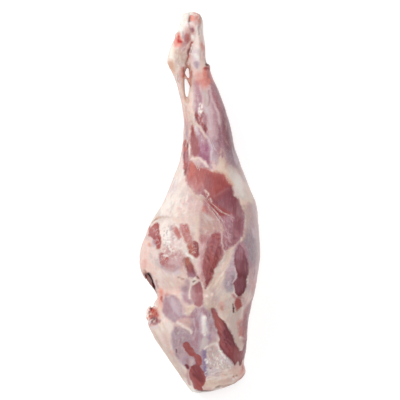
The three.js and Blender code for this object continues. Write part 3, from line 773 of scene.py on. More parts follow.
# %% Cover of the chump
CHUMP_FILM = [(13, -206), (28, -202), (50, -232), (44, -250), (14, -247)]
CHUMP_COVER = [
    ("dull fat", 3.5, 1.0, [(14, -205), (26, -198), (30, -212), (40, -222), (52, -234), (52, -250),
        (20, -252), (12, -247), (17, -232), (13, -214)]),
    ("sheath", 3, 0.8, CHUMP_FILM),
    ("lilac film", 3, 0.6, CHUMP_FILM,
        (-60, 5, 2.2, 0.4)),
    ("tan fat", 3, 0.6, CHUMP_FILM, (-30, 4, 2, 0.25)),
    ("grey fat", 3, 0.6, [(13, -206), (28, -202), (50, -232), (40, -250), (12, -248)], (-60, 7, 3, 0.4)),
    # white specks on the crinkled film: partly its colour, partly painted glints
    ("gristle and glint", 3, 0.75, [(13, -206), (28, -202), (50, -232), (40, -240), (12, -238)],
        (-56, 5, 1.6, 0.22)),
    ("rosy fat", 3, 0.6, [(12, -206), (28, -204), (36, -222), (16, -222)], (-50, 5, 3.4, 0.35)),
    ("pale lilac", 2, 0.8, [(24, -202), (29, -212), (40, -223), (50, -233), (44, -234), (32, -224),
        (25, -212)], (-45, 9, 2.6, 0.5)),
    # painted glint along the border of the wine-red patch
    ("gristle and glint", 1.3, 0.8, [(24, -201), (27, -208), (33, -218)], 2.4, 0.6),
    ("pale fat", 1.3, 0.9, [(6, -209), (13, -204.5), (20, -202)], 2.6, 0.5),
    # whitish streaks on the lower film: partly its colour, partly painted glints
    ("gristle and glint", 3, 0.7, [(9, -238), (30, -236), (44, -240), (40, -252), (9, -254)],
        None, 0.2, (8, 12, 1.8, 0.32)),
    ("fat", 3.5, 0.7, [(34, -236), (50, -236), (52, -250), (36, -252)], (5, 12, 3, 0.6)),
    ("pale fat", 2.5, 0.7, [(28, -246), (46, -244), (46, -252), (28, -254)], (8, 12, 2.4, 0.6)),
    ("pale lilac", 3, 0.7, [(12, -239), (24, -238), (30, -250), (10, -250)], (8, 9, 2.6, 0.55)),
    ("rosy fat", 4, 0.9, [(46, -238), (60, -231), (70, -244), (60, -260), (46, -256)]),
    ("tan fat", 3, 0.4, [(46, -238), (60, -231), (68, -244), (58, -258), (46, -254)], (30, 8, 3, 0.45)),
    ("peach fat", 3, 0.5, [(32, -238), (48, -240), (62, -233), (66, -246), (56, -257), (32, -256)]),
    ("cream fat", 3, 0.95, [(8, -256), (26, -253), (46, -252), (46, -262), (24, -266), (6, -270)]),
    ("pale fat", 1.4, 0.8, [(9, -255), (16, -252), (24, -250.5)], 2.4, 0.6),
    ("pale fat", 1.4, 0.6, [(26, -253), (36, -250), (46, -247)], 2.6, 0.5),
    ("tan fat", 1.4, 0.5, [(12, -252), (26, -248), (38, -246)], 1.8, -0.3),
    ("tan fat", 2, 0.4, [(10, -260), (28, -258)], 2.6),
    ("rosy fat", 2.5, 0.6, [(30, -257), (46, -254), (54, -254)], 5),
    ("salmon", 2.5, 0.6, [(61, -243), (60, -250), (56, -256)], 6),
    ("raw red", 1.6, 0.8, [(61.5, -236), (62, -240)], 3.6),
    # painted glints
    ("gristle and glint", 1.4, 0.9, [(48, -253), (49, -254)], 2.6, 0.6),
    ("gristle and glint", 1.4, 0.8, [(52, -251), (52.5, -252)], 2.4, 0.5),
    ("gristle and glint", 1.6, 1.0, [(-12, -272), (-4, -275), (8, -275), (20, -272), (30, -269), (40, -266)], 6),
    ("dark blood and shade", 1.1, 0.9, [(-2, -269.5), (8, -270.5), (15, -270), (20, -268), (25, -265.5),
        (29, -264.5)], 2.2),
    # painted shade at the deepest spot of the dark rim line
    ("dark blood and shade", 1.3, 1.0, [(24, -265.5), (29, -264)], 3),
    ("brown lean", 1.3, 0.9, [(30, -264), (38, -263), (48, -261), (56, -257.5), (63, -250)], 2.6),
    ("rosy fat", 1.6, 0.8, [(5, -262), (8, -267), (14, -267)], 4),
    ("dark mauve", 1.4, 0.9, [(79, -124), (76, -138), (73, -150), (70, -168), (69, -190), (66.5, -222)],
        3),
    ("rosy fat", 1.5, 0.5, [(62, -232), (65, -244)], 3),
    ("white fat", 3, 0.5, [(14, -272), (30, -267)], 4),
    ("rosy fat", 3, 0.4, [(67, -149), (67, -157)], 4),
    ("pale fat", 2.5, 0.4, [(-69, -149), (-67, -153)], 4),
    ("pale fat", 3, 0.45, [(20, -268), (40, -262), (60, -250)], 5),
    ("pale fat", 3, 0.4, [(34, -251), (46, -248)], 5),
]
paint_all(cover, CHUMP_COVER)
dots(cover, [
    ("pale fat", 10, -134, 4, 0.8), ("pale fat", 17, -131, 4.5, 0.8), ("cream fat", 11, -144, 4, 0.8),
    # the gristle dots at (8.5, -225) and (10.5, -229) are painted glints on the violet film
    ("tan fat", 13, -152, 5, 0.9), ("dark wine", 8, -122, 2.6, -0.6), ("gristle and glint", 8.5, -225, 3, 0.4),
    ("gristle and glint", 10.5, -229, 3, 0.4), ("dark mauve", 15, -237, 2.6, -0.3),
    ("brown edge", 48, -249, 2.6, -0.4), ("brown edge", 53, -248, 2.4, -0.4),
])

# %% [markdown]
# ### The shank
#
# The shank is a bundle of slim muscles, each in its own film, with the heel tendon behind them. The
# films run the way the leg does, so most strokes here are long lines rather than outlines.

# %% Shank cover
SHANK_COVER = [
    ("mauve film", 6, 1.0, [(10, 196), (22, 180), (38, 146), (50, 110), (60, 76), (68, 54), (40, 54),
        (16, 66), (-2, 72), (-4, 110), (-8, 140), (-8, 176), (0, 190)]),
    ("dull lean", 4, 0.8, [(16, 176), (24, 164), (36, 134), (31, 124), (25, 136), (17, 156)],
        (112, 18, 3, 0.65)),
    ("grey film", 3, 0.5, [(20, 178), (30, 158), (42, 128), (38, 126), (27, 152), (18, 172)]),
    # the right side of the shank: dark mauve film, partly painted shade where it turns from the light
    ("dark mauve", 5, 0.95, [(30, 132), (38, 130), (47, 108), (54, 84), (54, 64), (40, 70), (31, 92),
        (29, 114)]),
    ("rosy fat", 3, 0.35, [(31, 130), (40, 118), (47, 90), (40, 80), (32, 106)], (102, 18, 3, 0.35)),
    ("wine lean", 3, 0.3, [(24, 150), (34, 134), (44, 100), (38, 84), (30, 110)], (102, 20, 3, 0.4)),
    ("wine lean", 3, 0.3, [(33, 124), (38, 118), (40, 92), (34, 88), (32, 106)], (100, 20, 3.4, 0.7)),
    ("grey film", 5, 0.8, [(42, 118), (50, 108), (58, 76), (62, 56), (50, 50), (40, 58), (38, 70),
        (48, 82)]),
    ("pale lilac", 4, 0.65, [(46, 74), (56, 72), (70, 34), (56, 38)], (118, 18, 3.4, 0.6)),
    ("dark mauve", 2, 0.35, [(52, 51), (57, 44), (63, 35)], 3),
    ("tan film", 4, 0.6, [(33, 74), (38, 70), (40, 52), (34, 50)], (98, 16, 3, 0.6)),
    ("rosy fat", 3, 0.6, [(25, 128), (29, 126), (31, 108), (28, 104), (24, 108)], (95, 22, 2.4, 0.6)),
    ("mauve film", 3, 1.0, [(18, 112), (29, 110), (33, 84), (30, 70), (25, 72), (19, 88)]),
    ("dark mauve", 3, 0.6, [(19, 112), (29, 110), (32, 84), (23, 80)], (98, 20, 3, 0.65)),
    ("cream fat", 3, 0.8, [(28, 72), (34, 74), (36, 52), (30, 46), (26, 50)], (96, 18, 3, 0.75)),
    ("pink film", 4, 0.95, [(9, 142), (16, 144), (23, 114), (24, 92), (12, 90), (10, 106)]),
    ("dull lean", 3, 0.2, [(10, 130), (24, 120), (24, 88), (10, 92)], (100, 22, 2, 0.35)),
    ("mauve film", 2.5, 0.6, [(20, 128), (25, 124), (26, 110), (20, 112)]),
    ("sheath", 2.5, 0.95, [(4, 167), (11, 167), (13, 150), (12, 134), (8, 127), (4, 142)]),
    ("pale lilac", 3, 0.9, [(13, 94), (19, 90), (24, 76), (24, 60), (17, 56), (15, 72)],
        (100, 26, 2.6, 0.75)),
    ("lilac film", 2.5, 0.7, [(16, 92), (25, 88), (26, 56), (14, 50)], (98, 20, 2.6, 0.5)),
    ("mauve film", 3, 0.85, [(-2, 106), (10, 100), (13, 90), (8, 90), (-2, 90)]),
    ("violet film", 4, 0.9, [(-4, 90), (6, 84), (14, 78), (15, 66), (14, 50), (6, 58), (-3, 64)]),
    ("violet film", 3, 0.5, [(3, 80), (10, 80), (12, 70), (12, 54), (6, 62)]),
    ("pale lilac", 2, 0.5, [(-2, 96), (4, 92), (0, 80), (-2, 68)], (100, 12, 2, 0.4)),
    ("pale lilac", 1.6, 0.8, [(7, 97), (13, 89), (17, 78), (16, 60)], 3, 0.3),
    ("mauve film", 2.2, 0.85, [(-4, 103), (1, 102), (4, 93), (0, 88), (-4, 94)]),
    ("pale lilac", 2, 0.8, [(-6, 106), (-2, 98)], 4),
    # the tendon side
    ("tendon", 4, 1.0, [(-52, 206), (-26, 206), (-22, 190), (-22, 150), (-15, 112), (-13, 88), (-16, 70),
        (-24, 84), (-30, 88), (-33, 120), (-40, 170)]),
    ("peach fat", 3, 0.6, [(-36, 186), (-24, 186), (-19, 130), (-26, 126), (-34, 166)],
        (102, 30, 2.2, 0.5)),
    ("rosy fat", 3, 0.7, [(-38, 190), (-24, 186), (-16, 112), (-28, 112)], (101, 26, 2, 0.38)),
    ("grey film", 3, 0.35, [(-36, 186), (-26, 180), (-20, 116), (-28, 112)], (100, 22, 2, 0.3)),
    ("pale fat", 3, 0.7, [(-42, 196), (-28, 190), (-24, 150), (-34, 150)], (104, 22, 2.4, 0.35)),
    ("grey fat", 2.5, 0.5, [(-36, 176), (-28, 150), (-25, 124), (-25, 104)], 3.4),
    ("rosy fat", 3, 0.8, [(-25, 124), (-13, 122), (-11, 100), (-22, 96)], (95, 18, 2.2, 0.6)),
    ("lilac film", 2.5, 0.6, [(-22, 118), (-14, 114), (-14, 94), (-22, 92)], (95, 14, 2.4, 0.5)),
    ("pale fat", 2, 0.6, [(-20, 156), (-19, 142)], 4),
    ("pale fat", 2.5, 1.0, [(-12, 184), (-12.5, 165), (-12.5, 140), (-11, 120)], 7, 0.5),
    ("peach fat", 2.5, 0.6, [(-12, 182), (-12.5, 165), (-12.5, 140), (-11, 124)], 7, (93, 24, 2, 0.55)),
    ("gold rim", 1.6, 0.6, [(-23.5, 181), (-23, 166), (-21.5, 151)], 3),
    ("gold rim", 2, 0.6, [(-20.5, 148), (-18, 144), (-16, 148)], 4),
    ("gold rim", 1.6, 0.7, [(-16, 130), (-13, 120), (-10.5, 112)], 2.4),
    ("pink film", 2, 0.7, [(-8.2, 178), (-7.8, 150), (-7, 130)], 3),
    ("mauve film", 2.5, 1.0, [(-3, 177), (-2.5, 160), (-1.5, 132)], 9, -0.4),
    ("pink film", 2, 0.5, [(-3, 150), (-1, 132)], 4, (92, 10, 2, 0.35)),
    ("bright salmon", 6, 0.5, [(-3, 186), (5, 190), (14, 186), (15, 172), (8, 162), (-3, 166)]),
    ("salmon", 4, 0.95, [(4, 191), (7, 197), (14, 192), (16, 180), (13, 168), (6, 166), (2, 174)]),
    ("dull lean", 3, 0.6, [(9, 190), (14, 190), (16, 174), (11, 168), (9, 180)], (100, 12, 2.6, 0.7)),
    ("pink film", 1.6, 0.95, [(0, 166), (3, 156), (5, 148), (4, 140)], 2.8, 0.3),
    ("pale lilac", 1.4, 0.9, [(5, 141), (11, 131), (15, 116), (16, 104)], 2.6, 0.3),
    ("pink film", 1.5, 0.95, [(14, 167), (16, 151), (20, 142), (24, 133), (27, 124), (28, 112)], 3, 0.5),
    ("dark mauve", 1.4, 0.5, [(13, 160), (14, 150), (13, 140)], 2),
    # a pinkish streak with white flecks: the film's pink with a painted highlight and glints on it
    ("pink film", 2.5, 0.9, [(4, 140), (2, 132), (0, 124)], 5.4),
    ("gristle and glint", 1.4, 0.8, [(-2, 141), (4, 140), (4, 127), (-2, 127)], (80, 4, 1.8, 0.4)),
    ("tendon", 1.6, 1.0, [(-11.5, 126), (-9.5, 117), (-5, 112), (0, 108), (3.5, 102), (6, 98), (9.5, 93)],
        3.8, 0.8),
    ("dark mauve", 1.3, 0.9, [(-19, 77), (-14, 89)], 2.6, -0.8),
    ("lilac film", 1.6, 0.8, [(-18, 100), (-17.5, 90)], 2.6),
    ("rosy fat", 3, 1.0, [(-13, 98), (-17, 80), (-18, 56), (-18, 40), (-12, 50), (-11, 70)]),
    ("dull lean", 2, 0.6, [(-14, 92), (-12, 76), (-13, 60), (-18, 44)], 4, (88, 12, 2, 0.6)),
    ("gristle and glint", 1.3, 0.8, [(-14.5, 82), (-15, 74), (-14.5, 64)], 2, 0.3),
    ("pink film", 2, 0.9, [(-8, 60), (2, 60), (10, 52), (17, 46), (8, 46), (-6, 54)]),
    ("mauve film", 2, 0.6, [(4, 58), (10, 52), (14, 48), (8, 47), (0, 52)]),
    ("dull lean", 2.5, 0.7, [(-16, 66), (-17.5, 52), (-19, 40)], 4.6),
    ("pale fat", 1.8, 0.95, [(-12, 61), (-8, 63), (-3, 63), (2, 61), (6, 57), (10.5, 51)], 3.2, 1.0),
    ("gold rim", 2.2, 0.75, [(22, 43.5), (29, 43), (35, 41), (39, 37), (43.5, 30), (47.5, 24)], 3.6),
    ("sheath", 2, 0.6, [(48, 20), (51, 12), (55, 7)], 3),
    ("peach fat", 3, 0.45, [(-25, 181), (-24, 175)], 4),
    ("mauve film", 3, 0.4, [(22, 103), (22, 95)], 5),
]
paint_all(cover, SHANK_COVER)

# %% [markdown]
# ### The hock
#
# Skinned joints are pearly: gristle caps the small bones, with raw spots where ligaments were cut and
# one bright bead of blood. The heel bone is creamier, with a painted highlight on its left side, and
# tans at its point where it has dried.

# %% Hock cover
HOCK_COVER = [
    ("white fat", 5, 1.0, [(-54, 196), (-54, 214), (-46, 238), (-38, 260), (-24, 286), (6, 284),
        (12, 252), (14, 222), (14, 200), (-2, 190), (-16, 202), (-26, 196)]),
    ("gristle and glint", 4, 1.0, [(-36, 248), (-30, 264), (-20, 280), (-14, 270), (-15, 256), (-22, 246)]),
    ("heel cream and highlight", 2, 0.9, [(-21, 273), (-14, 275), (-8, 274)], 4),
    ("pale fat", 3, 0.8, [(-9, 236), (2, 240), (3, 214), (-10, 216)]),
    ("pale lilac", 4, 0.85, [(-12, 216), (-3, 219), (3, 208), (3, 190), (-8, 190), (-12, 202)]),
    ("gristle and glint", 3, 0.7, [(-6, 212), (-2, 206)], 6),
    ("pink fat", 3, 0.8, [(-15, 208), (-11, 208), (-9, 186), (-13, 184)]),
    ("pink fat", 3, 0.8, [(-9, 192), (3, 192), (4, 178), (-8, 176)]),
    ("salmon", 4, 0.5, [(-6, 184), (4, 188), (6, 176), (-6, 172)]),
    ("peach fat", 2.5, 0.8, [(4, 206), (4, 188)], 5),
    ("lilac film", 2.5, 0.95, [(-9, 201), (-3, 202), (-1.5, 195), (-5, 192)]),
    ("rosy fat", 3, 0.5, [(0, 262), (5, 258), (6, 232), (2, 232), (-1, 246)], (93, 14, 2.4, 0.7)),
    ("sheath", 2.5, 0.8, [(2, 250), (6, 248), (6, 236), (3, 236)]),
    ("tan fat", 1.6, 0.6, [(0, 238), (1.5, 222), (0.5, 205)], 2.4),
    ("salmon", 1.8, 0.8, [(4.5, 227), (5, 218)], 3.6),
    ("rosy fat", 2, 0.8, [(4, 230), (6, 214), (7, 204)], 5),
    ("salmon", 1.8, 0.7, [(4, 227), (5, 219)], 4.4),
    ("dull lean", 1.5, 0.9, [(7.6, 226), (8, 208)], 4.4),
    ("sheath", 2, 0.6, [(-7, 260), (-6, 248), (-7, 238)], 3),
    ("dark mauve", 1.6, 0.65, [(0, 263), (-1.5, 252), (-1.5, 241)], 2.8),
    ("rosy fat", 3, 0.9, [(-13, 268), (-2, 268), (0, 256), (-12, 256)]),
    ("salmon", 2.5, 0.8, [(-8, 271), (-3, 269), (2, 264), (1, 259), (-5, 260)], (100, 7, 3, 0.75)),
    ("brown edge", 2, 0.55, [(1, 266), (1, 257)], 3.6),
    # dark line in the slit at the tip: brown lean, partly painted shade
    ("brown lean", 1.2, 0.95, [(-12.5, 269), (-14, 264), (-14.5, 260)], 2.8, -0.5),
    ("bright salmon", 1.6, 1.0, [(-11, 267), (-10.5, 263)], 5, 0.7),
    ("lilac film", 1.6, 0.8, [(-14.5, 257), (-14.5, 251)], 3.4),
    ("gristle and glint", 2.5, 0.8, [(-12, 257), (-9, 253), (-8, 246)], 4),
    ("rosy fat", 2.5, 0.9, [(-11, 252), (-10, 243)], 8),
    ("plum", 1.8, 0.9, [(-11.3, 249), (-10.5, 247)], 4.6, -0.4),
    ("rosy fat", 3.5, 0.9, [(-22, 250), (-15, 251), (-11, 240), (-14, 227), (-22, 224), (-24, 234)]),
    ("raw red", 2.8, 0.8, [(-20, 243), (-16, 243), (-14, 238), (-15, 231), (-18, 228), (-20.5, 231),
        (-20.5, 238)]),
    ("mauve lean", 1.8, 0.8, [(-20.5, 240), (-21, 236), (-19.5, 229)], 2.6),
    ("lilac film", 1.5, 0.7, [(-24.5, 245), (-24, 236)], 2.6),
    # heel bone
    ("pale fat", 4, 0.9, [(-44, 232), (-26, 232), (-20, 222), (-19, 200), (-30, 188), (-50, 192),
        (-54, 212)]),
    # painted highlight on the heel bone's left side, where the light falls, in heel cream and gristle white
    ("heel cream and highlight", 3, 1.0, [(-50, 206), (-45, 224), (-37, 226), (-36, 210), (-41, 202)]),
    ("gristle and glint", 2.5, 0.7, [(-42, 220), (-41, 208)], 4),
    ("peach fat", 3.5, 1.0, [(-53, 204), (-38, 205), (-33, 192), (-40, 180), (-50, 190)]),
    ("gold rim", 3, 0.8, [(-48, 202), (-39, 201), (-37, 190), (-45, 189)]),
    ("tan fat", 3.5, 0.75, [(-35, 219), (-24, 220), (-19, 209), (-22, 200), (-34, 203)]),
    ("dull fat", 3, 0.8, [(-34, 208), (-27, 206), (-26, 192), (-34, 192)], (95, 14, 3, 0.7)),
    ("rosy fat", 2.5, 0.85, [(-30, 227), (-20, 227), (-19, 217), (-27, 214)], (60, 5, 3, 0.75)),
    ("pale fat", 2, 0.6, [(-34, 224), (-22, 224), (-20, 200), (-34, 204)], (80, 6, 2.4, 0.3)),
    ("mauve film", 2, 0.5, [(-26, 221), (-23, 218)], 4),
    ("peach fat", 3, 0.7, [(-38, 240), (-32, 248), (-28, 242), (-34, 234)]),
    ("bright salmon", 3, 0.95, [(-40, 231), (-33, 239), (-27, 237), (-23, 230), (-27, 224), (-39, 225)]),
    ("salmon", 2, 0.95, [(-30.5, 243), (-30.5, 234)], 3.6),
    ("blood", 1.6, 0.7, [(-31, 238), (-30, 232)], 2.8),
    ("blood", 1.8, 1.0, [(-30.5, 231), (-27.5, 230)], 5, 0.4),
    ("brown edge", 1.3, 0.6, [(-37, 230), (-37, 228)], 3),
    # the slit between heel and shin, and the rims of the slots
    ("pink fat", 1.6, 0.9, [(-11, 234), (-17, 224), (-20, 215)], 3.2),
    ("gristle and glint", 2, 0.9, [(-10, 238), (-8.5, 230), (-11, 222), (-12, 212)], 4),
    ("rosy fat", 2, 0.5, [(-11, 231), (-16, 221), (-17, 206), (-20, 198)], 4.4),
    ("dull lean", 2.5, 0.7, [(-25, 230), (-20, 230), (-20, 224), (-26, 224)]),
    ("raw red", 1.3, 0.9, [(-10.5, 230), (-12.5, 226.5), (-15, 221), (-16.5, 216.5), (-16, 211),
        (-17.5, 206)], 2.6, -0.5),
    ("wine lean", 1.3, 0.8, [(-15.5, 219), (-17, 215)], 3.2),
    ("brown edge", 1.3, 0.8, [(-18, 206), (-20, 200), (-19, 194)], 2.4),
    ("salmon", 2.5, 0.75, [(-26, 192), (-26, 185), (-25, 180)], 4.4),
    ("raw red", 1.6, 0.8, [(-23, 193), (-22.5, 186), (-23.5, 180)], 3),
    ("salmon", 2, 0.7, [(-16, 196), (-15, 190), (-13, 182)], 4),
    ("raw red", 1.5, 0.6, [(-17, 193), (-14.5, 184)], 2.4),
    ("tan fat", 3, 0.9, [(-15, 192), (-14, 184), (-13, 172)], 8),
    ("brown edge", 1.6, 0.7, [(-22, 189), (-18, 179), (-13.5, 169)], 4),
    ("salmon", 2, 0.7, [(-18, 187), (-15, 179)], 6),
    ("raw red", 1.8, 0.7, [(-12, 188), (-11.5, 180)], 3.4),
    ("salmon", 1.5, 0.6, [(-14, 177), (-13, 170)], 3),
    # the torn end of the front shin tendon
    ("rosy fat", 2, 0.6, [(7, 212), (9, 204)], 3),
    ("grey film", 1.8, 0.8, [(13, 199), (15, 193)], 3.4),
    ("salmon", 2, 0.9, [(7, 190), (6.5, 182)], 5),
    ("dull lean", 2, 0.85, [(12.5, 189), (13, 180)], 4),
    ("raw red", 1.6, 1.0, [(7.5, 192.5), (12, 191.5)], 4),
    ("dark wine", 1.4, 0.7, [(10, 192), (12.5, 190.5)], 2.4),
    # painted shade in the gap between the shreds
    ("dark blood and shade", 1.6, 0.9, [(9, 198), (10.5, 197)], 4.6),
]
paint_all(cover, HOCK_COVER)

# %% [markdown]
# ### Bare lean
#
# Where the fat was trimmed off, the muscle lies open, about a millimetre lower than the fat round it.
# Each patch has its own grain, because each muscle pulls its own way. The largest is the silverside
# below the knee. Down the middle of the thigh runs the salmon cut, on the flank the thick flank shows
# as a dark oval, and two long patches cross the chump. The softness after the angle of the grain says
# whether the edge was cut by a knife, near 1, or feathers out under the silverskin, 2 and more.

# %% Lean of the outer side
bare("lean", 86, 2.2, [(-14, 58), (-8, 56), (-4, 53), (2, 51), (7, 49.5), (12, 47), (16, 45), (20, 43.5),
    (28, 42), (34, 40), (37, 36), (41, 30), (45, 25), (47.5, 18), (50, 10), (54, 6), (57, 0), (60, -7),
    (62.5, -14), (64, -21), (64, -30), (63, -40), (61.5, -48), (57, -54), (51, -59), (46, -63), (41, -67),
    (37, -70), (33, -62), (31, -50), (34, -40), (32, -32), (26, -25), (20, -17), (15, -9), (11, -1),
    (8, 4), (5, 8), (2, 11), (-2, 10), (-7, 13), (-10, 18), (-14, 21), (-18, 25), (-20, 30), (-20, 37),
    (-18, 46), (-16, 53)])
bare("red lean", -104, 2.0, [(12, -52), (17, -46), (26, -42), (30, -44), (31, -52), (32, -62), (34, -72),
    (31, -80), (27, -87), (24, -92), (21, -96), (20, -103), (17, -110), (11, -119), (8, -121), (7, -116),
    (6, -108), (4, -100), (4, -90), (5, -80), (7, -72), (9, -65), (10, -58)])
bare("wine lean", -86, 1.2, [(56, -60), (60, -63), (63, -69), (66, -76), (68, -84), (69.5, -92),
    (69, -100), (67, -108), (66, -118), (65, -124), (62, -130), (58, -133.5), (54, -133), (51, -129),
    (49.5, -124), (48.5, -119), (48, -114), (51, -110), (53, -106), (52.5, -101), (51, -95), (49, -88),
    (49, -80), (50, -72), (53, -65)])
bare("lean", -84, 1.6, [(51, -137), (55, -136.5), (59, -140), (60, -147), (57, -151), (54, -154),
    (52, -155), (51, -150), (50, -143)])
bare("dark wine", -84, 1.2, [(47.5, -144), (49, -146), (49.5, -153), (49, -158), (47, -157), (47, -150)])
bare("lean", -78, 1.8, [(-67, -32), (-63, -29), (-59, -30), (-57.5, -38), (-56.5, -45), (-56, -52),
    (-55.5, -60), (-56.5, -65), (-59, -67), (-61.5, -65), (-62.5, -60), (-64, -55), (-68, -51),
    (-73, -49), (-74, -45), (-71, -38)])
bare("pink lean", -62, 2.6, [(-28, -32), (-18, -31), (-15, -38), (-12, -46), (-9, -53), (-13, -60),
    (-20, -58), (-24, -50), (-27, -42)])
bare("lean", -62, 1.8, [(-12, -52), (-6, -55), (-2, -58), (-1, -66), (-1, -76), (-4, -80), (-9, -76),
    (-12, -74), (-16, -70), (-18, -62), (-16, -54)])
bare("pink lean", -60, 2.4, [(-37.5, -35), (-33, -35), (-29, -42), (-26, -48), (-29, -52), (-34, -48),
    (-37, -42)])
bare("brown lean", -66, 2.2, [(-24, -80), (-16, -79), (-12, -86), (-9, -92), (-6, -99), (-5, -105),
    (-10, -108), (-16, -107), (-19, -98), (-22, -90)])
bare("dull lean", -88, 1.8, [(0, -113), (3, -118), (4, -130), (5, -140), (2, -147), (-4, -148),
    (-10, -142), (-12, -134), (-12, -124), (-9, -118), (-4, -115)])
bare("wine lean", -62, 1.6, [(15.5, -151), (19, -150), (22.5, -152), (24, -157), (26, -161), (30, -165),
    (35, -170), (39, -175), (42, -180), (45, -186), (48, -193), (51, -201), (55, -208), (58, -213),
    (60, -214), (62, -207), (64, -198), (68, -198), (69, -214), (66, -226), (60, -232), (58, -234),
    (56, -231), (54, -228), (52, -233), (50, -233), (47, -230), (44, -225), (40, -221), (35, -216),
    (30, -211), (27.5, -206), (28, -200), (28, -195), (26, -188), (24, -181), (22, -177), (21, -172),
    (19.5, -167), (17.5, -160)])
bare("lean", -58, 1.0, [(-24, -204), (-22, -199.5), (-18, -198.5), (-15, -201), (-13, -205), (-10, -209),
    (-7, -213), (-5, -216), (-1, -217), (2, -220), (3.5, -225), (3, -231), (0, -234), (4, -240),
    (7.5, -247), (8.5, -253), (7, -260), (3, -265), (4, -269), (0, -270), (-7, -268), (-10, -262),
    (-13.5, -255), (-15.5, -248), (-15, -242), (-11, -234), (-6, -231), (-7, -225), (-9, -221),
    (-13, -220), (-17, -217), (-20, -213), (-22, -209)])
bare("wine lean", -40, 1.2, [(-21, -231), (-18, -231), (-15, -237), (-17, -239), (-20, -236)])
bare("lean", -84, 2.2, [(-12, 110), (-9, 108), (-7, 100), (-4, 92), (-1, 84), (-1, 72), (-5, 66),
    (-10, 66), (-12, 72), (-13, 85), (-13, 96)])
bare("red lean", -68, 1.8, [(-6, 130), (-7, 125), (-6, 120), (-3, 114), (1, 111), (4, 108), (6, 103),
    (8, 99), (10, 101), (11, 108), (10, 116), (8, 124), (6, 129), (3, 127), (0, 121), (-3, 127)])
bare("mauve lean", -86, 1.6, [(-25, 92), (-22, 92), (-18, 86), (-17, 74), (-17, 60), (-18, 48), (-20, 38),
    (-21.5, 42), (-23, 54), (-24, 70), (-25, 84)])
print("share of the skin that is bare:", round(100 * (lean_edge > 0).mean()), "%")

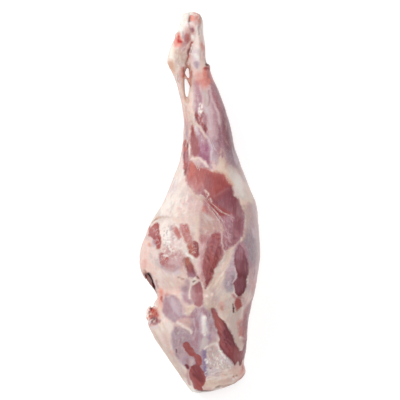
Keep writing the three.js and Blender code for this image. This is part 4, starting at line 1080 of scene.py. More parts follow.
# %% Shades of the lean
LEAN_SHADES = [
    # silverside: paler on its left and wine red on its right, partly its own colour and
    # partly painted light and shade of its two faces
    ("dull lean", 8, 1.0, [(-24, 60), (14, 56), (20, 40), (14, 20), (6, 2), (-24, 10)]),
    ("pink lean", 7, 0.8, [(-24, 60), (8, 54), (8, 32), (-4, 16), (-24, 22)]),
    ("lean", 5, 0.8, [(10, 50), (30, 46), (36, 36), (24, 28), (12, 36)]),
    ("pink lean", 3, 0.7, [(12, 46), (28, 42), (37, 37), (44, 27)], 8),
    ("pink film", 2.5, 0.35, [(-19, 44), (-19, 30), (-10, 19), (-3, 12)], 6),
    ("red lean", 6, 0.6, [(30, 32), (40, 28), (46, 20), (49, 8), (36, 6), (14, 4), (20, 12), (27, 20)]),
    ("purple lean", 7, 0.9, [(26, 6), (48, 22), (60, 2), (68, -16), (66, -30), (50, -20), (36, -12),
        (20, -2)]),
    ("pink film", 3, 0.35, [(54, 4), (60, -4), (64, -20), (58, -30), (52, -10)]),
    ("wine lean", 5, 0.35, [(40, 26), (50, 22), (56, 2), (60, -12), (50, -12), (42, 6)]),
    # painted sheen: a faint pale line across the muscle
    ("pink film", 2.4, 0.2, [(20, 8), (30, 14), (40, 20)], 2),
    ("mauve lean", 4, 0.9, [(32, -24), (64, -24), (65, -50), (40, -70), (30, -50)]),
    ("pink film", 3, 0.2, [(40, -50), (52, -46), (60, -54), (44, -66), (36, -66)]),
    ("pink film", 3, 0.45, [(7, -50), (15, -49), (13, -62), (8, -66)]),
    ("rosy fat", 2, 0.45, [(31, -68), (28, -82), (24, -93), (18, -104)], 4),
    ("purple lean", 4, 0.8, [(40, -24), (58, -24), (58, -50), (42, -60)], (-50, 16, 4, 0.7)),
    ("mauve film", 3, 0.7, [(50, -56), (64, -48), (64, -20), (60, -22), (58, -44), (48, -54)]),
    ("dull lean", 3, 0.6, [(8, 2), (16, -2), (30, -16), (34, -24), (24, -22), (12, -10)]),
    ("mauve film", 3.5, 0.6, [(26, -20), (40, -22), (46, -40), (34, -42), (26, -30)]),
    ("pink film", 2.5, 0.55, KNEE_VEIL,
        (-53, 16, 1.8, 0.3)),
    ("salmon", 3, 0.7, [(-12, 56), (-10, 46), (-15, 38)], 6),
    ("rosy fat", 2, 0.85, [(-8, 58), (2, 56), (9, 50), (4, 48.5), (-6, 52)], (-65, 9, 2.4, 0.65)),
    ("red lean", 2.5, 1.0, [(15, -1), (28, -6), (42, -13), (48, -18), (40, -21), (30, -20), (20, -13)]),
    ("wine lean", 2, 0.5, [(12, 6), (18, 0), (30, -6), (22, 4)]),
    ("pink lean", 1.6, 0.7, [(18, -1), (25, -8), (33, -14), (40, -17), (47, -22)], 2),
    # pale lines under two of the modelled strands: partly their colour, partly painted highlights on them
    ("pink fat", 1.3, 0.9, [(14.5, 4.5), (16.5, 1)], 2.4, 0.4),
    ("pink fat", 1.4, 0.9, [(8, 17.5), (9.5, 15.5), (12, 13), (12.5, 10.5)], 2.6, 0.5),
    ("mauve film", 2.5, 0.7, [(36, -16), (50, -18), (50, -28), (40, -32)], (-48, 10, 2.4, 0.5)),
    ("pink film", 2.5, 0.5, [(34, -22), (48, -22), (48, -30), (38, -34)], (-48, 9, 2, 0.25)),
    ("brown lean", 1.4, 0.4, [(-17, 24), (-12, 20), (-6, 14), (1, 11)], 1.8),
    # salmon cut and its veil
    ("mauve film", 3, 0.7, [(30, -42), (42, -44), (46, -64), (32, -76)], (-60, 10, 2.6, 0.55)),
    ("pink film", 2, 0.6, [(30, -42), (44, -44), (46, -62), (34, -76), (28, -60)], (-58, 9, 2, 0.25)),
    ("pink film", 2, 0.75, [(31, -43), (31.5, -52), (31, -62)], 2.4, 0.3),
    ("mauve lean", 4, 0.5, [(14, -48), (28, -44), (34, -70), (12, -72)]),
    ("dull lean", 4, 0.6, [(8, -52), (16, -48), (14, -70), (10, -90), (12, -118), (20, -104), (32, -80),
        (32, -94), (8, -126), (2, -90)]),
    ("dull lean", 2, 0.5, [(12, -50), (30, -44), (32, -80), (8, -84)], (-35, 12, 2, 0.3)),
    ("dark wine", 1.6, 0.5, [(11, -56), (9, -64), (7, -74)], 2.6),
    ("brown lean", 3, 0.4, [(20, -76), (26, -76), (26, -92), (20, -92)]),
    ("brown lean", 1.8, 0.8, [(10, -77), (15, -86), (19, -99)], 3, -0.5),
    ("wine lean", 2.5, 0.6, [(9, -104), (16, -104), (13, -119), (8, -120)]),
    # thick flank
    ("purple lean", 4, 0.8, [(50, -62), (62, -60), (70, -84), (69, -104), (58, -100), (48, -84)]),
    ("mauve film", 3, 0.5, [(52, -62), (62, -62), (66, -78), (54, -80)], (-80, 16, 3, 0.5)),
    ("dark wine", 4, 0.45, [(56, -104), (69, -100), (67, -128), (56, -136), (52, -124)]),
    ("purple lean", 3, 0.8, [(47, -112), (54, -108), (64, -110), (62, -122), (51, -130), (47, -118)]),
    # small patches towards the tail
    ("pink lean", 3, 0.7, [(-74, -40), (-64, -32), (-62, -44), (-70, -52), (-77, -50)]),
    ("mauve lean", 2.5, 0.5, [(-74, -46), (-68, -52), (-62, -52), (-66, -44)]),
    ("raw red", 2, 0.4, [(-60, -34), (-58, -48), (-58, -64)], 4),
    ("orange lean", 2.5, 0.7, [(-18, -56), (-10, -56), (-9, -74), (-17, -72)]),
    ("wine lean", 3, 0.5, [(-8, -56), (-1, -58), (0, -72), (-5, -76), (-8, -68)]),
    ("orange lean", 3, 0.7, [(-21, -79), (-15, -79), (-13, -87), (-19, -88)]),
    ("rosy fat", 2.5, 0.7, [(-24, -78), (-22, -80), (-21, -94), (-24, -92)]),
    ("rosy fat", 3, 0.35, [(-22, -44), (-12, -44), (-9, -56), (-18, -62)]),
    ("red lean", 2.5, 0.9, [(-17, -90), (-11, -90), (-8, -102), (-14, -104), (-18, -96)]),
    ("purple lean", 2, 0.9, [(-11, -94), (-6, -98), (-5, -106), (-10, -106)]),
    ("mauve film", 3, 1.0, [(-20, -98), (-13, -100), (-5, -102), (-4, -108), (-16, -110)]),
    ("pink film", 3, 0.6, [(-13, -122), (-7, -122), (-7, -142), (-13, -140)]),
    # chump
    ("mauve lean", 2, 0.6, [(15, -150), (23, -151), (22, -162), (16, -162)]),
    ("brown lean", 3, 0.8, [(17, -162), (26, -162), (34, -170), (28, -178), (20, -174)]),
    ("lean", 3, 0.6, [(25, -174), (29, -188), (33, -206)], 6),
    ("red lean", 3, 0.6, [(36, -206), (46, -206), (46, -220), (38, -216)]),
    ("dark wine", 2, 0.55, [(28, -162), (37, -172), (45, -185), (51, -200), (58, -214)], 3),
    ("pink lean", 3, 0.5, [(16, -150), (26, -160), (34, -178), (30, -186), (22, -172)]),
    ("dull lean", 3, 0.4, [(16, -150), (26, -160), (36, -182), (48, -210), (36, -214), (27, -190)],
        (-62, 14, 2.6, 0.45)),
    ("dark wine", 2, 0.8, [(48, -226), (51, -233)], 5),
    ("dark wine", 2, 0.8, [(58, -228), (58.5, -234)], 5),
    ("lean", 4, 0.5, [(50, -206), (60, -212), (62, -232), (46, -228)]),
    ("mauve lean", 2.5, 0.7, [(56, -220), (62, -208), (67, -202), (66, -222), (60, -228)],
        (-84, 14, 2.4, 0.65)),
    ("dull lean", 2, 0.5, [(-24, -202), (-12, -203), (-2, -218), (-6, -234), (-20, -214)],
        (-50, 5, 2, 0.4)),
    ("wine lean", 3, 0.7, [(-10, -234), (0, -234), (6, -250), (4, -258), (-10, -248)]),
    ("dark wine", 1.8, 0.3, [(-11, -246), (-3, -252), (5, -259)], 3),
    ("dull lean", 2.5, 0.7, [(-14, -246), (-12, -254), (-8, -262)], 5),
    # shank
    ("dull lean", 3, 0.9, [(-14, 96), (-3, 92), (-2, 68), (-12, 68)]),
    ("red lean", 3, 0.4, [(-12, 106), (-8, 104), (-5, 96), (-12, 94)]),
    ("lean", 3, 0.9, [(-8, 130), (8, 130), (10, 100), (-2, 108)]),
    ("wine lean", 1.4, 0.7, [(-5.5, 127), (-5, 120), (-2, 114)], 2.4),
    ("pink film", 2, 0.8, [(-4, 128), (8, 128), (9, 106), (-2, 116)], (-60, 4, 1.8, 0.3)),
    ("mauve film", 2, 0.8, [(4, 127), (9, 124), (11, 108), (7, 110), (5, 118)]),
    ("wine lean", 1.6, 0.7, [(7, 110), (8, 100)], 3.4),
    ("pink lean", 3, 1.0, [(-32, 92), (-18, 91), (-16, 76), (-30, 74)]),
    ("dark wine", 1.2, 0.85, [(-21, 86), (-21, 82)], 1.8),
    ("dark wine", 1.2, 0.85, [(-18.5, 86), (-17.5, 77)], 1.8),
    ("pink fat", 1.2, 0.8, [(-19.8, 86), (-19.8, 80)], 1.6),
    ("pink film", 1.5, 0.5, [(-19.5, 74), (-19, 58)], 2.2),
    ("wine lean", 2, 0.5, [(-18, 56), (-19, 44)], 3),
    ("brown lean", 1.8, 0.9, [(-20.5, 47), (-20.5, 39)], 3.4),
]
paint_all(lean, LEAN_SHADES)
paint_all(lean, [
    ("pink film", 2, 0.8, [(-68, -36), (-60, -38), (-57, -60), (-62, -62), (-67, -50)],
        (20, 2.6, 1.8, 0.17)),
    ("pink film", 2, 0.6, [(-28, -32), (-16, -32), (-8, -54), (-22, -48)], (30, 3, 2.2, 0.28)),
    ("pink fat", 2, 0.6, [(-18, -54), (-8, -56), (-4, -78), (-14, -74)], (30, 2.4, 1.8, 0.16)),
    ("pink lean", 2, 0.55, [(14, -46), (30, -43), (33, -64), (10, -66)], (10, 7, 1.8, 0.36)),
    ("dark wine", 2, 0.4, [(10, -64), (32, -64), (24, -94), (12, -122), (5, -118), (6, -84)],
        (-63, 14, 2, 0.36)),
    ("pink lean", 2, 0.45, [(9, -68), (30, -68), (24, -90), (14, -108), (6, -104)], (-63, 10, 1.6, 0.24)),
])

# %% [markdown]
# ### What lies hidden
#
# The inner side and the cut face are finished like the rest. The inner side of a leg shows the round
# topside muscle in its film, a torn seam of fat beside it, and the pale inner face of the shin. The
# saw leaves the chump as a flat face: lean, a rim of fat, and the round end of the hip bone in it.
# The walls between the two sides carry on what is above them, and grow paler towards the table.

# %% Walls
WALL_COVER = [
    ("pale fat", 7, 0.8, [(-66, 0), (-100, -40), (-118, -90), (-100, -130), (-94, -96), (-92, -70),
        (-80, -30)], (80, 26, 5, 0.6)),
    ("rosy fat", 6, 0.6, [(-80, -20), (-112, -60), (-112, -110), (-96, -90), (-94, -60)],
        (85, 22, 5, 0.45)),
    ("rosy fat", 6, 0.8, [(92, -20), (116, -20), (114, -130), (90, -126)], (92, 30, 5, 0.6)),
    ("lean", 4, 0.7, [(76, -150), (84, -150), (78, -220), (70, -220)], (94, 20, 4, 0.55)),
    ("dull fat", 5, 0.8, [(82, -130), (100, -130), (92, -226), (80, -226)], (94, 22, 5, 0.6)),
    ("cream fat", 6, 0.8, [(-70, -190), (-92, -200), (-50, -268), (-20, -290), (-30, -262)],
        (120, 24, 5, 0.6)),
    ("grey film", 5, 0.6, [(56, 110), (76, 60), (88, 30), (78, 20), (62, 60)], (112, 20, 4, 0.5)),
    ("dull fat", 5, 0.7, [(66, 100), (92, 40), (100, 10), (88, 10), (72, 56)], (112, 20, 5, 0.6)),
    ("pale fat", 5, 0.8, [(-32, 60), (-44, 40), (-66, 10), (-80, 14), (-50, 60)], (60, 20, 5, 0.6)),
]
paint_all(cover, WALL_COVER)

# %% Inner side
INNER_COVER = [
    ("pale fat", 10, 1.0, [(-66, 0), (-24, 64), (34, 64), (86, 0), (90, -60), (74, -140), (50, -240),
        (-20, -270), (-64, -190), (-90, -90)]),
    ("rosy fat", 9, 0.7, [(-60, -20), (-20, 50), (20, 50), (66, 0), (70, -100), (40, -200), (-40, -180),
        (-70, -100)], (80, 34, 8, 0.5)),
    ("white fat", 8, 0.7, [(-60, -20), (-20, 50), (66, 0), (70, -100), (40, -220), (-50, -180)],
        (75, 22, 5, 0.35)),
    ("lilac film", 8, 0.9, [(-40, -20), (0, 20), (40, 0), (54, -60), (46, -130), (20, -160), (-20, -150),
        (-44, -100)]),
    ("mauve film", 8, 0.8, [(-24, -30), (20, -14), (38, -70), (24, -124), (-16, -118), (-34, -76)],
        (-70, 30, 5, 0.6)),
    ("pink fat", 6, 0.8, [(-84, -60), (-60, -30), (-56, -90), (-66, -120), (-86, -102)]),
    ("mauve film", 6, 0.9, [(-18, 190), (4, 190), (24, 150), (40, 100), (46, 64), (10, 70), (-10, 110)]),
    ("pale lilac", 4, 0.8, [(-10, 180), (6, 180), (30, 110), (30, 70), (4, 90)], (105, 28, 4, 0.5)),
    ("tendon", 4, 0.9, [(-6, 200), (4, 200), (14, 160), (18, 120), (8, 96), (0, 130), (-6, 170)]),
    ("white fat", 5, 0.9, [(-50, 196), (-50, 216), (-34, 256), (-20, 276), (4, 274), (8, 220), (8, 200),
        (-20, 200)]),
    ("salmon", 4, 0.4, [(-24, 240), (-8, 240), (-8, 222), (-24, 222)], (60, 8, 3, 0.5)),
    ("cream fat", 6, 0.8, [(40, -170), (66, -160), (62, -220), (40, -236), (28, -210)],
        (100, 20, 5, 0.7)),
    ("brown edge", 3, 0.3, [(-36, -140), (-20, -160), (4, -166), (30, -158)], 6, -0.6),
]
paint_all(cover, INNER_COVER, side="inner")
bare("lean", -70, 2, [(-30, -60), (-6, -30), (22, -34), (36, -70), (30, -112), (6, -134), (-20, -120),
    (-34, -90)], side="inner")
bare("red lean", -80, 2, [(-6, -170), (20, -162), (30, -190), (20, -232), (0, -236),
    (-16, -206)], side="inner")
bare("dull lean", -75, 2, [(8, 118), (20, 112), (28, 84), (20, 72), (8, 84)], side="inner")
INNER_SHADES = [
    ("purple lean", 10, 0.7, [(0, -50), (24, -60), (24, -100), (4, -110)]),
    ("pink lean", 8, 0.6, [(-28, -70), (-8, -50), (-10, -90), (-26, -96)], (-70, 24, 4, 0.6)),
    ("pink film", 6, 0.35, [(-30, -60), (22, -34), (34, -80), (0, -130)], (-70, 34, 8, 0.4)),
    ("wine lean", 6, 0.8, [(0, -190), (20, -186), (16, -220), (0, -224)]),
    ("pink film", 5, 0.35, [(-4, -172), (24, -170), (20, -230), (-10, -210)], (-80, 28, 8, 0.4)),
]
paint_all(lean, INNER_SHADES, side="inner")

# %% Sawn face of the chump
CUT_LEAN = math.radians(22)
CUT_RUN = (62, 20, 0)  # the way the saw went, seen from above
CUT_MIDDLE = (27, -262)  # mm
CUT_HALF_WIDTH, CUT_BOTTOM, CUT_TOP = 42, 3, 40  # mm
CHUMP_START = -225  # mm along the leg, the cut lies between this and the near end
BONE_ACROSS, BONE_HEIGHT, BONE_HALF_WIDTH, BONE_HALF_HEIGHT = -4, 20, 15, 7.5  # mm

across_cut = Vector(CUT_RUN).normalized()
level_share = math.cos(CUT_LEAN)
out_of_cut = np.array([across_cut.y * level_share, -across_cut.x * level_share, -math.sin(CUT_LEAN)])
sawn = soft_step((facing @ out_of_cut) - 0.9, 0.05) * (place[:, 1] < CHUMP_START)
across = (place[:, 0] - CUT_MIDDLE[0]) * across_cut.x + (place[:, 1] - CUT_MIDDLE[1]) * across_cut.y
from_edge = np.minimum(place[:, 2] - CUT_BOTTOM, CUT_TOP - place[:, 2]) * 1.1
rim = np.minimum(CUT_HALF_WIDTH - np.abs(across), from_edge) + wander(9, 41) * 2
on_face = sawn > 0.5
lean_edge[on_face] = (rim - 5)[on_face]
lean[on_face] = TISSUE["wine lean"]
cover[on_face] = TISSUE["pale fat"]
grain[on_face] = place[on_face][:, [0, 2, 1]]
muscle_seams = np.abs(wander(17, 43))
for layer, tissue, mask in (
    (lean, "red lean", sawn * soft_step(wander(22, 45), 0.4) * 0.8),
    (lean, "purple lean", sawn * soft_step(wander(15, 49) - 0.3, 0.3) * 0.6),
    (lean, "pale fat", sawn * soft_step(0.07 - muscle_seams, 0.05)),
):
    layer += mask[:, None] * (TISSUE[tissue] - layer)
bone = np.hypot((across - BONE_ACROSS) / BONE_HALF_WIDTH, (place[:, 2] - BONE_HEIGHT) / BONE_HALF_HEIGHT)
bone += wander(8, 47) * 0.06 - 1
for tissue, edge in (("tendon", 0.22), ("orange lean", -0.02), ("raw red", -0.5)):
    mask = sawn * soft_step(edge - bone, 0.1)
    for layer in (lean, cover):
        layer += mask[:, None] * (TISSUE[tissue] - layer)
lift -= sawn * soft_step(-bone, 0.2) * 0.6
print("sawn face:", int(on_face.sum()), "points")

# %% [markdown]
# ### The fold, the torn end and the mottled places
#
# The fold behind the thigh is deep: dark blood on its walls and painted shade in its depth make it
# read almost black. The knot at the cut tail end is a crumble of gristle, clot and raw meat, with a
# few painted glints. Other places are mottled: the fat there is thin or torn and lets lean through in
# flecks.

# %% The fold
FOLD = [
    ("brown edge", 1.8, 0.8, [(-79.5, -98), (-78, -99)], 3.6),
    ("raw red", 2, 0.6, [(-77, -102), (-73, -107)], 4.6),
    ("brown edge", 1.8, 0.85, [(-81, -104), (-75, -113), (-67, -124)], 4),
    ("mauve lean", 1.6, 0.8, [(-63.5, -112), (-60, -124)], 3),
]
paint_all(cover, FOLD)

FOLD_START, FOLD_END = np.array([-78, -97]), np.array([-64.5, -127])  # mm in plan
FOLD_HEIGHT = 46  # mm, at the middle of its mouth
FOLD_LEAN = math.radians(16)
FOLD_HALF_WIDTH, FOLD_HALF_HEIGHT = 3.8, 21  # mm
DEEP_FROM = 0.14  # share of its run at which it opens

fold_run = FOLD_END - FOLD_START
fold_out = np.array([fold_run[1], -fold_run[0]]) / np.linalg.norm(fold_run)
from_middle = place[:, 2] - FOLD_HEIGHT
in_plan = place[:, :2] - FOLD_START - fold_out * (from_middle * math.tan(FOLD_LEAN))[:, None]
share_of_run = np.clip(in_plan @ fold_run / (fold_run @ fold_run), 0, 1)
aside = np.linalg.norm(in_plan - share_of_run[:, None] * fold_run, axis=1)
from_fold = np.hypot(aside / FOLD_HALF_WIDTH, from_middle / FOLD_HALF_HEIGHT) + wander(5, 61) * 0.12
deep = soft_step(share_of_run - DEEP_FROM, 0.1)
# dull lean at the lips, dark blood on the walls, and painted shade deepest in the fold
for tissue, reach, amount in (("dull lean", 1.5, 0.7), ("dark blood and shade", 1.15, 1), ("shadow", 0.75, 0.6)):
    mask = soft_step(reach - from_fold, 0.25) * (deep * amount)
    cover += mask[:, None] * (TISSUE[tissue] - cover)
print("walls of the fold:", int((from_fold < 1.3).sum()), "points")

# %% Lower lip of the fold
LOWER_LIP = [(-79, -101), (-75, -102), (-65, -125), (-67, -131), (-76, -122), (-81, -108)]
LIP_TOP = 47  # mm, where the upper lip hangs over it
RAW_FROM = -109  # mm along the leg
lower_lip = soft_step(inside(LOWER_LIP), 1.5) * (MASK["outer"] * (place[:, 2] < LIP_TOP))
raw_part = soft_step(place[:, 1] - RAW_FROM, 3)
for tissue, mask in (("brown lean", lower_lip * 0.95), ("raw red", lower_lip * raw_part * 0.5)):
    cover += mask[:, None] * (TISSUE[tissue] - cover)
print("lower lip:", int((lower_lip > 0.5).sum()), "points")

# %% Torn end
TORN_END = [
    ("pink fat", 2, 0.8, [(-60, -126), (-63, -131)], 5),
    ("salmon", 3, 0.95, [(-82, -150), (-66, -149), (-60, -157), (-59, -168), (-66, -176), (-82, -172)]),
    ("gristle and glint", 1.6, 0.9, [(-72, -150), (-67, -149), (-63, -150)], 4.6, 0.5),
    ("gristle and glint", 2, 0.9, [(-77, -153), (-76, -162)], 6, 0.6),
    ("mauve film", 2, 0.9, [(-71, -172), (-63, -173)], 5),
    ("gristle and glint", 2, 0.6, [(-70, -150), (-66, -152)], 4),
    ("wine lean", 2, 0.35, [(-69, -169), (-67, -174)], 4),
]
paint_all(cover, TORN_END)
dots(cover, [
    ("raw red", -68, -155, 8, 0.3), ("dark blood and shade", -70, -154, 3, -0.8), ("blood", -66.5, -156, 3, 0.4),
    ("orange lean", -63.5, -158, 6, 0.4), ("brown lean", -66, -164, 4.5, -0.8),
    ("raw red", -71, -163, 4, 0.3), ("raw red", -62, -163, 6, 0.3), ("wine lean", -67, -169, 9, -0.3),
    ("dark blood and shade", -66.5, -168, 3.6, -0.6), ("wine lean", -62, -169, 6, 0.2),
    # the cream, pale and gristle specks here: crumbs of gristle, partly painted glints
    ("dull lean", -57.5, -169.5, 5, 0), ("cream fat", -71, -160, 3, 0.8),
    ("pale fat", -73.5, -167, 3, 0.8), ("gristle and glint", -70.5, -170, 2.6, 0.7),
    ("cream fat", -64.5, -171, 2.6, 0.6), ("dark wine", -73, -158, 2.6, -0.8),
])
KNOT = [(-82, -150), (-62, -148), (-55, -158), (-56, -172), (-66, -180), (-82, -172)]
knot = soft_step(inside(KNOT), 3)

# %% Mottled places
MOTTLED = [  # amount, softness, outline
    (0.8, 5, [(-58, -70), (-40, -60), (-26, -70), (-28, -80), (-44, -82), (-60, -88)]),
    (0.5, 5, [(-42, -32), (-28, -34), (-24, -54), (-32, -62), (-40, -54)]),
    (0.4, 4, [(-70, -36), (-58, -36), (-56, -66), (-68, -58)]),
    (0.6, 4, [(-30, -32), (-14, -34), (-10, -52), (-16, -70), (-26, -50)]),
    (0.35, 6, [(10, -206), (30, -202), (50, -232), (40, -252), (8, -246)]),
    (0.3, 5, [(-40, -20), (-10, 10), (-4, -24), (-24, -30)]),
]
for amount, soft, outline in MOTTLED:
    mottle = np.maximum(mottle, soft_step(inside(outline), soft) * MASK["outer"] * amount)
print("mottled places:", len(MOTTLED))

# %% [markdown]
# ## Relief
#
# What is painted is now also modelled, by moving each point along its normal: bare lean sinks, the
# cut fat round it keeps a small lip, lean has ridges along its grain, and fat has shallow lumps. A
# Displace modifier could read the same amounts as a vertex group, but it takes only one sign at a
# time, so the points are moved in code. The leg lies on the table, so nothing may pass below it.

# %% Sink the lean and ridge it
LEAN_SINKS, FAT_LIP = 0.5, 0.15  # mm
RIDGE, SLOW_RIDGE = np.array([16, 2.6, 4]), np.array([34, 5.5, 9])  # mm along, across and down
RIDGE_HEIGHT, SLOW_RIDGE_HEIGHT, FILM_RIDGE_HEIGHT = 0.14, 0.24, 0.34  # mm
SHANK_START, SHANK_END = 60, 200  # mm along the leg

lean_share = soft_step(lean_edge - 0.4, 1.0)
lift -= LEAN_SINKS * lean_share
lift += FAT_LIP * np.exp(-((lean_edge + 0.9) ** 2))
ridges = wander(1, 71, grain / RIDGE)
slow_ridges = wander(1, 83, grain / SLOW_RIDGE)
lift += lean_share * (RIDGE_HEIGHT * ridges + SLOW_RIDGE_HEIGHT * slow_ridges)
shank = soft_step(place[:, 1] - SHANK_START, 12) * soft_step(SHANK_END - place[:, 1], 8)
lift += (1 - lean_share) * shank * FILM_RIDGE_HEIGHT * slow_ridges
print("shank:", int((shank > 0.5).sum()), "points with ridges under their film")

# %% Lump the fat and move the points
FAT_LUMP, SMALL_LUMP, MOTTLED_LUMP, KNOT_LUMP = 0.34, 0.15, 0.2, 0.8  # mm high
RESTING_BELOW = 6  # mm above the table, where the meat is pressed flat

lift += (1 - lean_share) * (1 - shank) * (FAT_LUMP * wander(11, 91) + SMALL_LUMP * wander(4.5, 97))
lift += mottle * (1 - shank) * MOTTLED_LUMP * wander(3.2, 101)
lift += knot * KNOT_LUMP * wander(4.2, 107)
resting = soft_step(RESTING_BELOW - place[:, 2], 3) * MASK["inner"]
lift *= 1 - 0.8 * resting
moved = (place + facing * lift[:, None]) * MM
moved = np.clip(moved, np.array(cad_bounds[0]), np.array(cad_bounds[1]))
leg.data.vertices.foreach_set("co", moved.ravel())
leg.data.update()
print("relief, in mm:", round(lift.min(), 2), "to", round(lift.max(), 2))

# %% Store the paint on the mesh
PAINTED = {
    "cover_colour": ("FLOAT_COLOR", "color", np.column_stack([cover, np.ones(count)])),
    "lean_colour": ("FLOAT_COLOR", "color", np.column_stack([lean, np.ones(count)])),
    "lean_edge": ("FLOAT", "value", lean_edge),
    "mottle": ("FLOAT", "value", mottle),
    "grain": ("FLOAT_VECTOR", "vector", grain * MM),
}
for name, (kind, field, values) in PAINTED.items():
    attribute = leg.data.attributes.new(name, kind, "POINT")
    attribute.data.foreach_set(field, np.asarray(values, np.float32).ravel())
choose(leg)
bpy.ops.object.shade_smooth()
print("painted:", ", ".join(PAINTED))

# %% [markdown]
# ## The wet meat
#
# Raw meat is water, fat and protein, so light goes a little way in and comes out redder: a short
# subsurface radius, longest in red. Its juices leave a film, which a thin coat gives, and the dark
# wet places are the glossiest. Everything else comes from the paint. The edge of a bare patch is
# stored as a distance, so the shader can cut it sharp and ragged, finer than the faces of the mesh.
# Fibres are about 0.3 mm in a real leg, too fine to show from here, so bundles of them, 1.6 mm wide,
# are drawn instead.

# %% The material of the leg
FIBRE_BUNDLE = 1.6 * MM
STREAK = 3.2 * FIBRE_BUNDLE
FINE_FLECK = 1.1 * MM
FLECK = 3.4 * MM
THREAD_LOOP = 9 * MM
LUMP = 14 * MM
ALONG_GRAIN = (0.06, 1, 0.6)  # patterns are drawn out along the first axis

wet_meat, tree, output = new_material("raw_lamb_fat_and_lean")
coordinates = add_node(tree, "ShaderNodeTexCoord", {}).outputs["Object"]
paint_of = {
    name: add_node(tree, "ShaderNodeAttribute", {}, attribute_name=name)
    for name in PAINTED
}
along_grain = add_node(
    tree, "ShaderNodeMapping", {"Vector": paint_of["grain"].outputs["Vector"], "Scale": ALONG_GRAIN}
).outputs["Vector"]


def noise_of(vector, size, detail=2.0, roughness=0.5):
    """Noise with lumps of a size in metres."""
    made = add_node(
        tree,
        "ShaderNodeTexNoise",
        {"Vector": vector, "Scale": 1 / size, "Detail": detail, "Roughness": roughness},
    )
    return made.outputs["Fac"]


def ramp(value, low, high, to_low=0.0, to_high=1.0):
    """Turns low..high into to_low..to_high, clamped."""
    made = add_node(
        tree,
        "ShaderNodeMapRange",
        {"Value": value, "From Min": low, "From Max": high, "To Min": to_low, "To Max": to_high},
    )
    return made.outputs["Result"]


def calculate(operation, a, b):
    """One sum on two values."""
    made = add_node(tree, "ShaderNodeMath", {0: a, 1: b}, operation=operation)
    return made.outputs["Value"]


def mix_colour(share, first, second, blend="MIX"):
    """Mixes two colours."""
    made = add_node(
        tree,
        "ShaderNodeMix",
        {"Factor": share, 6: first, 7: second},
        data_type="RGBA",
        blend_type=blend,
    )
    return made.outputs[2]


lumps = noise_of(coordinates, LUMP, 4.0, 0.6)
flecks = noise_of(coordinates, FLECK, 3.0, 0.6)
fine = noise_of(coordinates, FINE_FLECK, 2.0, 0.6)
fibres = noise_of(along_grain, FIBRE_BUNDLE, 3.0, 0.55)
streaks = noise_of(along_grain, STREAK, 3.0, 0.55)
mottled = paint_of["mottle"].outputs["Fac"]
threads = noise_of(coordinates, THREAD_LOOP, 4.0, 0.65)
web = calculate("MULTIPLY", ramp(threads, 0.47, 0.5), ramp(threads, 0.5, 0.53, 1.0, 0.0))
print("patterns: lumps, flecks, fibres, streaks and a web of threads")

# %% Cover: fat, film and sinew
colour = paint_of["cover_colour"].outputs["Color"]
not_dark = ramp(add_node(tree, "ShaderNodeRGBToBW", {"Color": colour}).outputs["Val"], 0.04, 0.25)
colour = mix_colour(ramp(lumps, 0.42, 0.7, 0.0, 0.2), colour, opaque("#E2B9AE"), "MULTIPLY")
colour = mix_colour(ramp(streaks, 0.35, 0.68, 0.14, 0.0), colour, opaque("#C79C98"), "MULTIPLY")
colour = mix_colour(ramp(fine, 0.5, 0.75, 0.0, 0.3), colour, opaque("#FFF6EE"), "SOFT_LIGHT")
red_flecks = calculate("MULTIPLY", ramp(flecks, 0.54, 0.64), mottled)
colour = mix_colour(calculate("MULTIPLY", red_flecks, 0.4), colour, opaque("#C08A86"))
pale_flecks = calculate("MULTIPLY", ramp(flecks, 0.46, 0.38), mottled)
pale_share = calculate("MULTIPLY", pale_flecks, calculate("MULTIPLY", not_dark, 0.45))
colour = mix_colour(pale_share, colour, opaque("#F2E6DE"))
web_share = calculate("MULTIPLY", calculate("MULTIPLY", web, not_dark), ramp(mottled, 0.1, 0.9, 0.1, 0.32))
cover_colour = mix_colour(web_share, colour, opaque("#F6EEE8"))

# %% Lean: fibres, marbling and a dry bloom
colour = paint_of["lean_colour"].outputs["Color"]
colour = mix_colour(ramp(fibres, 0.3, 0.7, 0.3, 0.0), colour, opaque("#B56A6A"), "MULTIPLY")
colour = mix_colour(ramp(fibres, 0.58, 0.74, 0.0, 0.16), colour, opaque("#DDA8A2"))
colour = mix_colour(ramp(lumps, 0.35, 0.65, 0.18, 0.0), colour, opaque("#C08080"), "MULTIPLY")
marbling = calculate("MULTIPLY", ramp(flecks, 0.56, 0.7), ramp(mottled, 0.3, 0.95, 0.0, 0.6))
lean_colour = mix_colour(marbling, colour, opaque("#DDB4AE"))

# %% Where cover gives way to lean
rough_edge = calculate("ADD", ramp(flecks, 0.3, 0.7, -0.35, 0.35), paint_of["lean_edge"].outputs["Fac"])
is_lean = ramp(rough_edge, -0.75, 0.75)
surface_colour = mix_colour(is_lean, cover_colour, lean_colour)

# %% Gloss, relief and the shader
brightness = add_node(tree, "ShaderNodeRGBToBW", {"Color": surface_colour}).outputs["Val"]
roughness = calculate("ADD", ramp(brightness, 0.15, 0.75, 0.36, 0.52), ramp(lumps, 0.35, 0.65, 0.05, -0.05))
relief = mix_colour(is_lean, flecks, fibres)
bump = add_node(
    tree, "ShaderNodeBump", {"Height": relief, "Strength": 0.5, "Distance": 0.3 * MM}
)
skin = add_node(
    tree,
    "ShaderNodeBsdfPrincipled",
    {
        "Base Color": surface_colour,
        "Roughness": roughness,
        "IOR": 1.4,
        "Specular IOR Level": 0.35,
        "Subsurface Weight": 0.22,
        "Subsurface Radius": (1.0, 0.35, 0.25),
        "Subsurface Scale": 3 * MM,
        "Coat Weight": 0.1,
        "Coat Roughness": 0.2,
        "Normal": bump.outputs["Normal"],
    },
)
tree.links.new(skin.outputs["BSDF"], output.inputs["Surface"])
leg.data.materials.append(wet_meat)
print("material nodes:", len(tree.nodes))
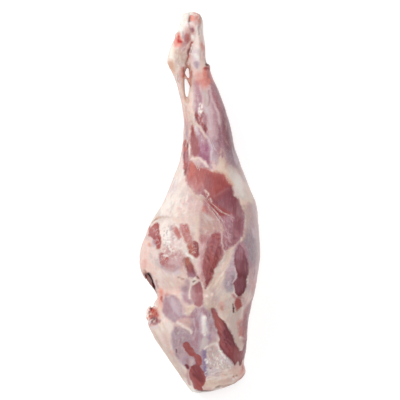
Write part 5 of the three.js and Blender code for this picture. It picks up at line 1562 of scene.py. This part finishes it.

# %% [markdown]
# Blood that has dried in a fold or on a cut has no gloss left, nor should the painted shade in the
# fold have any. A second material without a film of water would be wrong for a whole patch, as its
# border shows, but these spots are small and dark, so it simply goes on the faces where the cover was
# painted almost black: dark blood, and painted shade in the fold and in small gaps.

# %% Dried blood and painted shade
dried_blood_and_shade, tree, output = new_material("dried_blood_and_shade")
stain_and_shade = add_node(tree, "ShaderNodeAttribute", {}, attribute_name="cover_colour").outputs["Color"]
crust = add_node(
    tree,
    "ShaderNodeBsdfPrincipled",
    {"Base Color": stain_and_shade, "Roughness": 0.85, "IOR": 1.35, "Specular IOR Level": 0.1},
)
tree.links.new(crust.outputs["BSDF"], output.inputs["Surface"])
leg.data.materials.append(dried_blood_and_shade)
ALMOST_BLACK = 0.055
is_almost_black = (cover.mean(axis=1) < ALMOST_BLACK) & (lean_edge < 0)
for face in leg.data.polygons:
    if all(is_almost_black[index] for index in face.vertices):
        face.material_index = 1
print("dried blood:", sum(face.material_index for face in leg.data.polygons), "faces")

# %% [markdown]
# ## Sinew strands
#
# Over the silverside, thin strands of torn sinew fan out from one point and stick to the wet meat. A
# few more lie by the knee and beside the salmon cut.
# Painted lines would blur at this size, so they are modelled: each is a curve laid on the surface
# from above, with a round bevel that tapers to nothing at both ends, then made a mesh.

# %% Lay the strands
ABOVE = 0.3  # metres, well clear of the leg
THINNEST = 0.12  # share of the full thickness that is left at the ends
TAPER = 6  # the strand is full over all but a sixth of its run at either end
surface = BVHTree.FromObject(leg, bpy.context.evaluated_depsgraph_get())
STRANDS = [  # thickness in mm, and the way it runs in plan
    (1.3, [(7.5, 17.5), (9.5, 16), (12, 13), (12.5, 11), (10.5, 7), (9, 4)]),
    (0.7, [(8.5, 16), (9, 11), (11, 8)]),
    (1.4, [(14.5, 4.5), (16, 2), (17.5, 0)]),
    (0.6, [(9, 8), (13, 3), (15, 1)]),
    (0.5, [(17, -1), (25, -8), (33, -14), (40, -17), (47, -22)]),
    (0.4, [(13, 2), (22, -6), (32, -14), (42, -19)]),
    (0.7, [(12, -3), (18, -9), (24, -15), (30, -22), (35, -31)]),
    (0.5, [(10, 0), (16, -7), (22, -14), (30, -24)]),
    (0.6, [(15, -8), (22, -18), (28, -26), (33, -31)]),
    (0.4, [(14, -3), (24, -14), (31, -24), (36, -35)]),
    (0.5, [(20, -6), (30, -14), (42, -19), (50, -23)]),
    (0.5, [(4, 10), (8, 6), (12, 0)]),
    (0.5, [(2, 11), (6, 5), (10, -1)]),
    (0.5, [(17, -12), (26, -24), (33, -36)]),
    (0.9, [(-8, 57), (-5, 52), (-3, 47)]),
    (0.8, [(-5, 54), (-2, 50), (0, 45)]),
    (0.5, [(30, -44), (31.5, -52), (31, -60)]),
    (0.5, [(36, -38), (40, -46), (42, -54)]),
]


def lay_strand(thickness, route):
    """A tapered curve that lies on the surface below its route."""
    line = smooth_curve(route, closed=False, steps=6)
    curve = bpy.data.curves.new("strand", "CURVE")
    curve.dimensions = "3D"
    curve.bevel_depth = thickness / 2 * MM
    curve.bevel_resolution = 2
    curve.use_fill_caps = True
    spline = curve.splines.new("POLY")
    spline.points.add(len(line) - 1)
    for i, (x, y) in enumerate(line):
        hit = surface.ray_cast(Vector((x * MM, y * MM, ABOVE)), Vector((0, 0, -1)))[0]
        share = i / (len(line) - 1)
        spline.points[i].co = (hit.x, hit.y, hit.z + 0.1 * thickness * MM, 1)
        spline.points[i].radius = max(THINNEST, min(1, TAPER * share, TAPER * (1 - share)))
    made = bpy.data.objects.new("strand", curve)
    bpy.context.scene.collection.objects.link(made)
    choose(made)
    bpy.ops.object.convert(target="MESH")
    return bpy.context.object


strands = [lay_strand(thickness, route) for thickness, route in STRANDS]
choose(strands[0])
for strand in strands:
    strand.select_set(True)
bpy.ops.object.join()
sinew = bpy.context.object
sinew.name = "sinew_strands"
bpy.ops.object.shade_smooth()
print("strands:", len(STRANDS), "with", len(sinew.data.polygons), "faces")

# %% [markdown]
# Sinew is collagen: nearly clear when wet, white where it bunches, and glossier than the meat.

# %% The material of the strands
wet_sinew, tree, output = new_material("wet_collagen_sinew")
coordinates = add_node(tree, "ShaderNodeTexCoord", {}).outputs["Object"]
cloud = noise_of(coordinates, 4 * MM, 2.0)
colour = mix_colour(ramp(cloud, 0.35, 0.65), opaque("#C9A09C"), opaque("#E8D2CA"))
skin = add_node(
    tree,
    "ShaderNodeBsdfPrincipled",
    {
        "Base Color": colour,
        "Roughness": ramp(cloud, 0.3, 0.7, 0.4, 0.22),
        "Subsurface Weight": 0.3,
        "Subsurface Radius": (1.0, 0.5, 0.4),
        "Subsurface Scale": 1.5 * MM,
        "Coat Weight": 0.5,
        "Coat Roughness": 0.1,
    },
)
tree.links.new(skin.outputs["BSDF"], output.inputs["Surface"])
sinew.data.materials.append(wet_sinew)

# %% [markdown]
# ## Hand over
#
# The fine skin stands for the plain solid, and both pieces ride on the one body of the frame.

# %% Ride on the frame
for piece in (leg, sinew):
    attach(piece, "root")
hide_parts("leg_of_lamb")
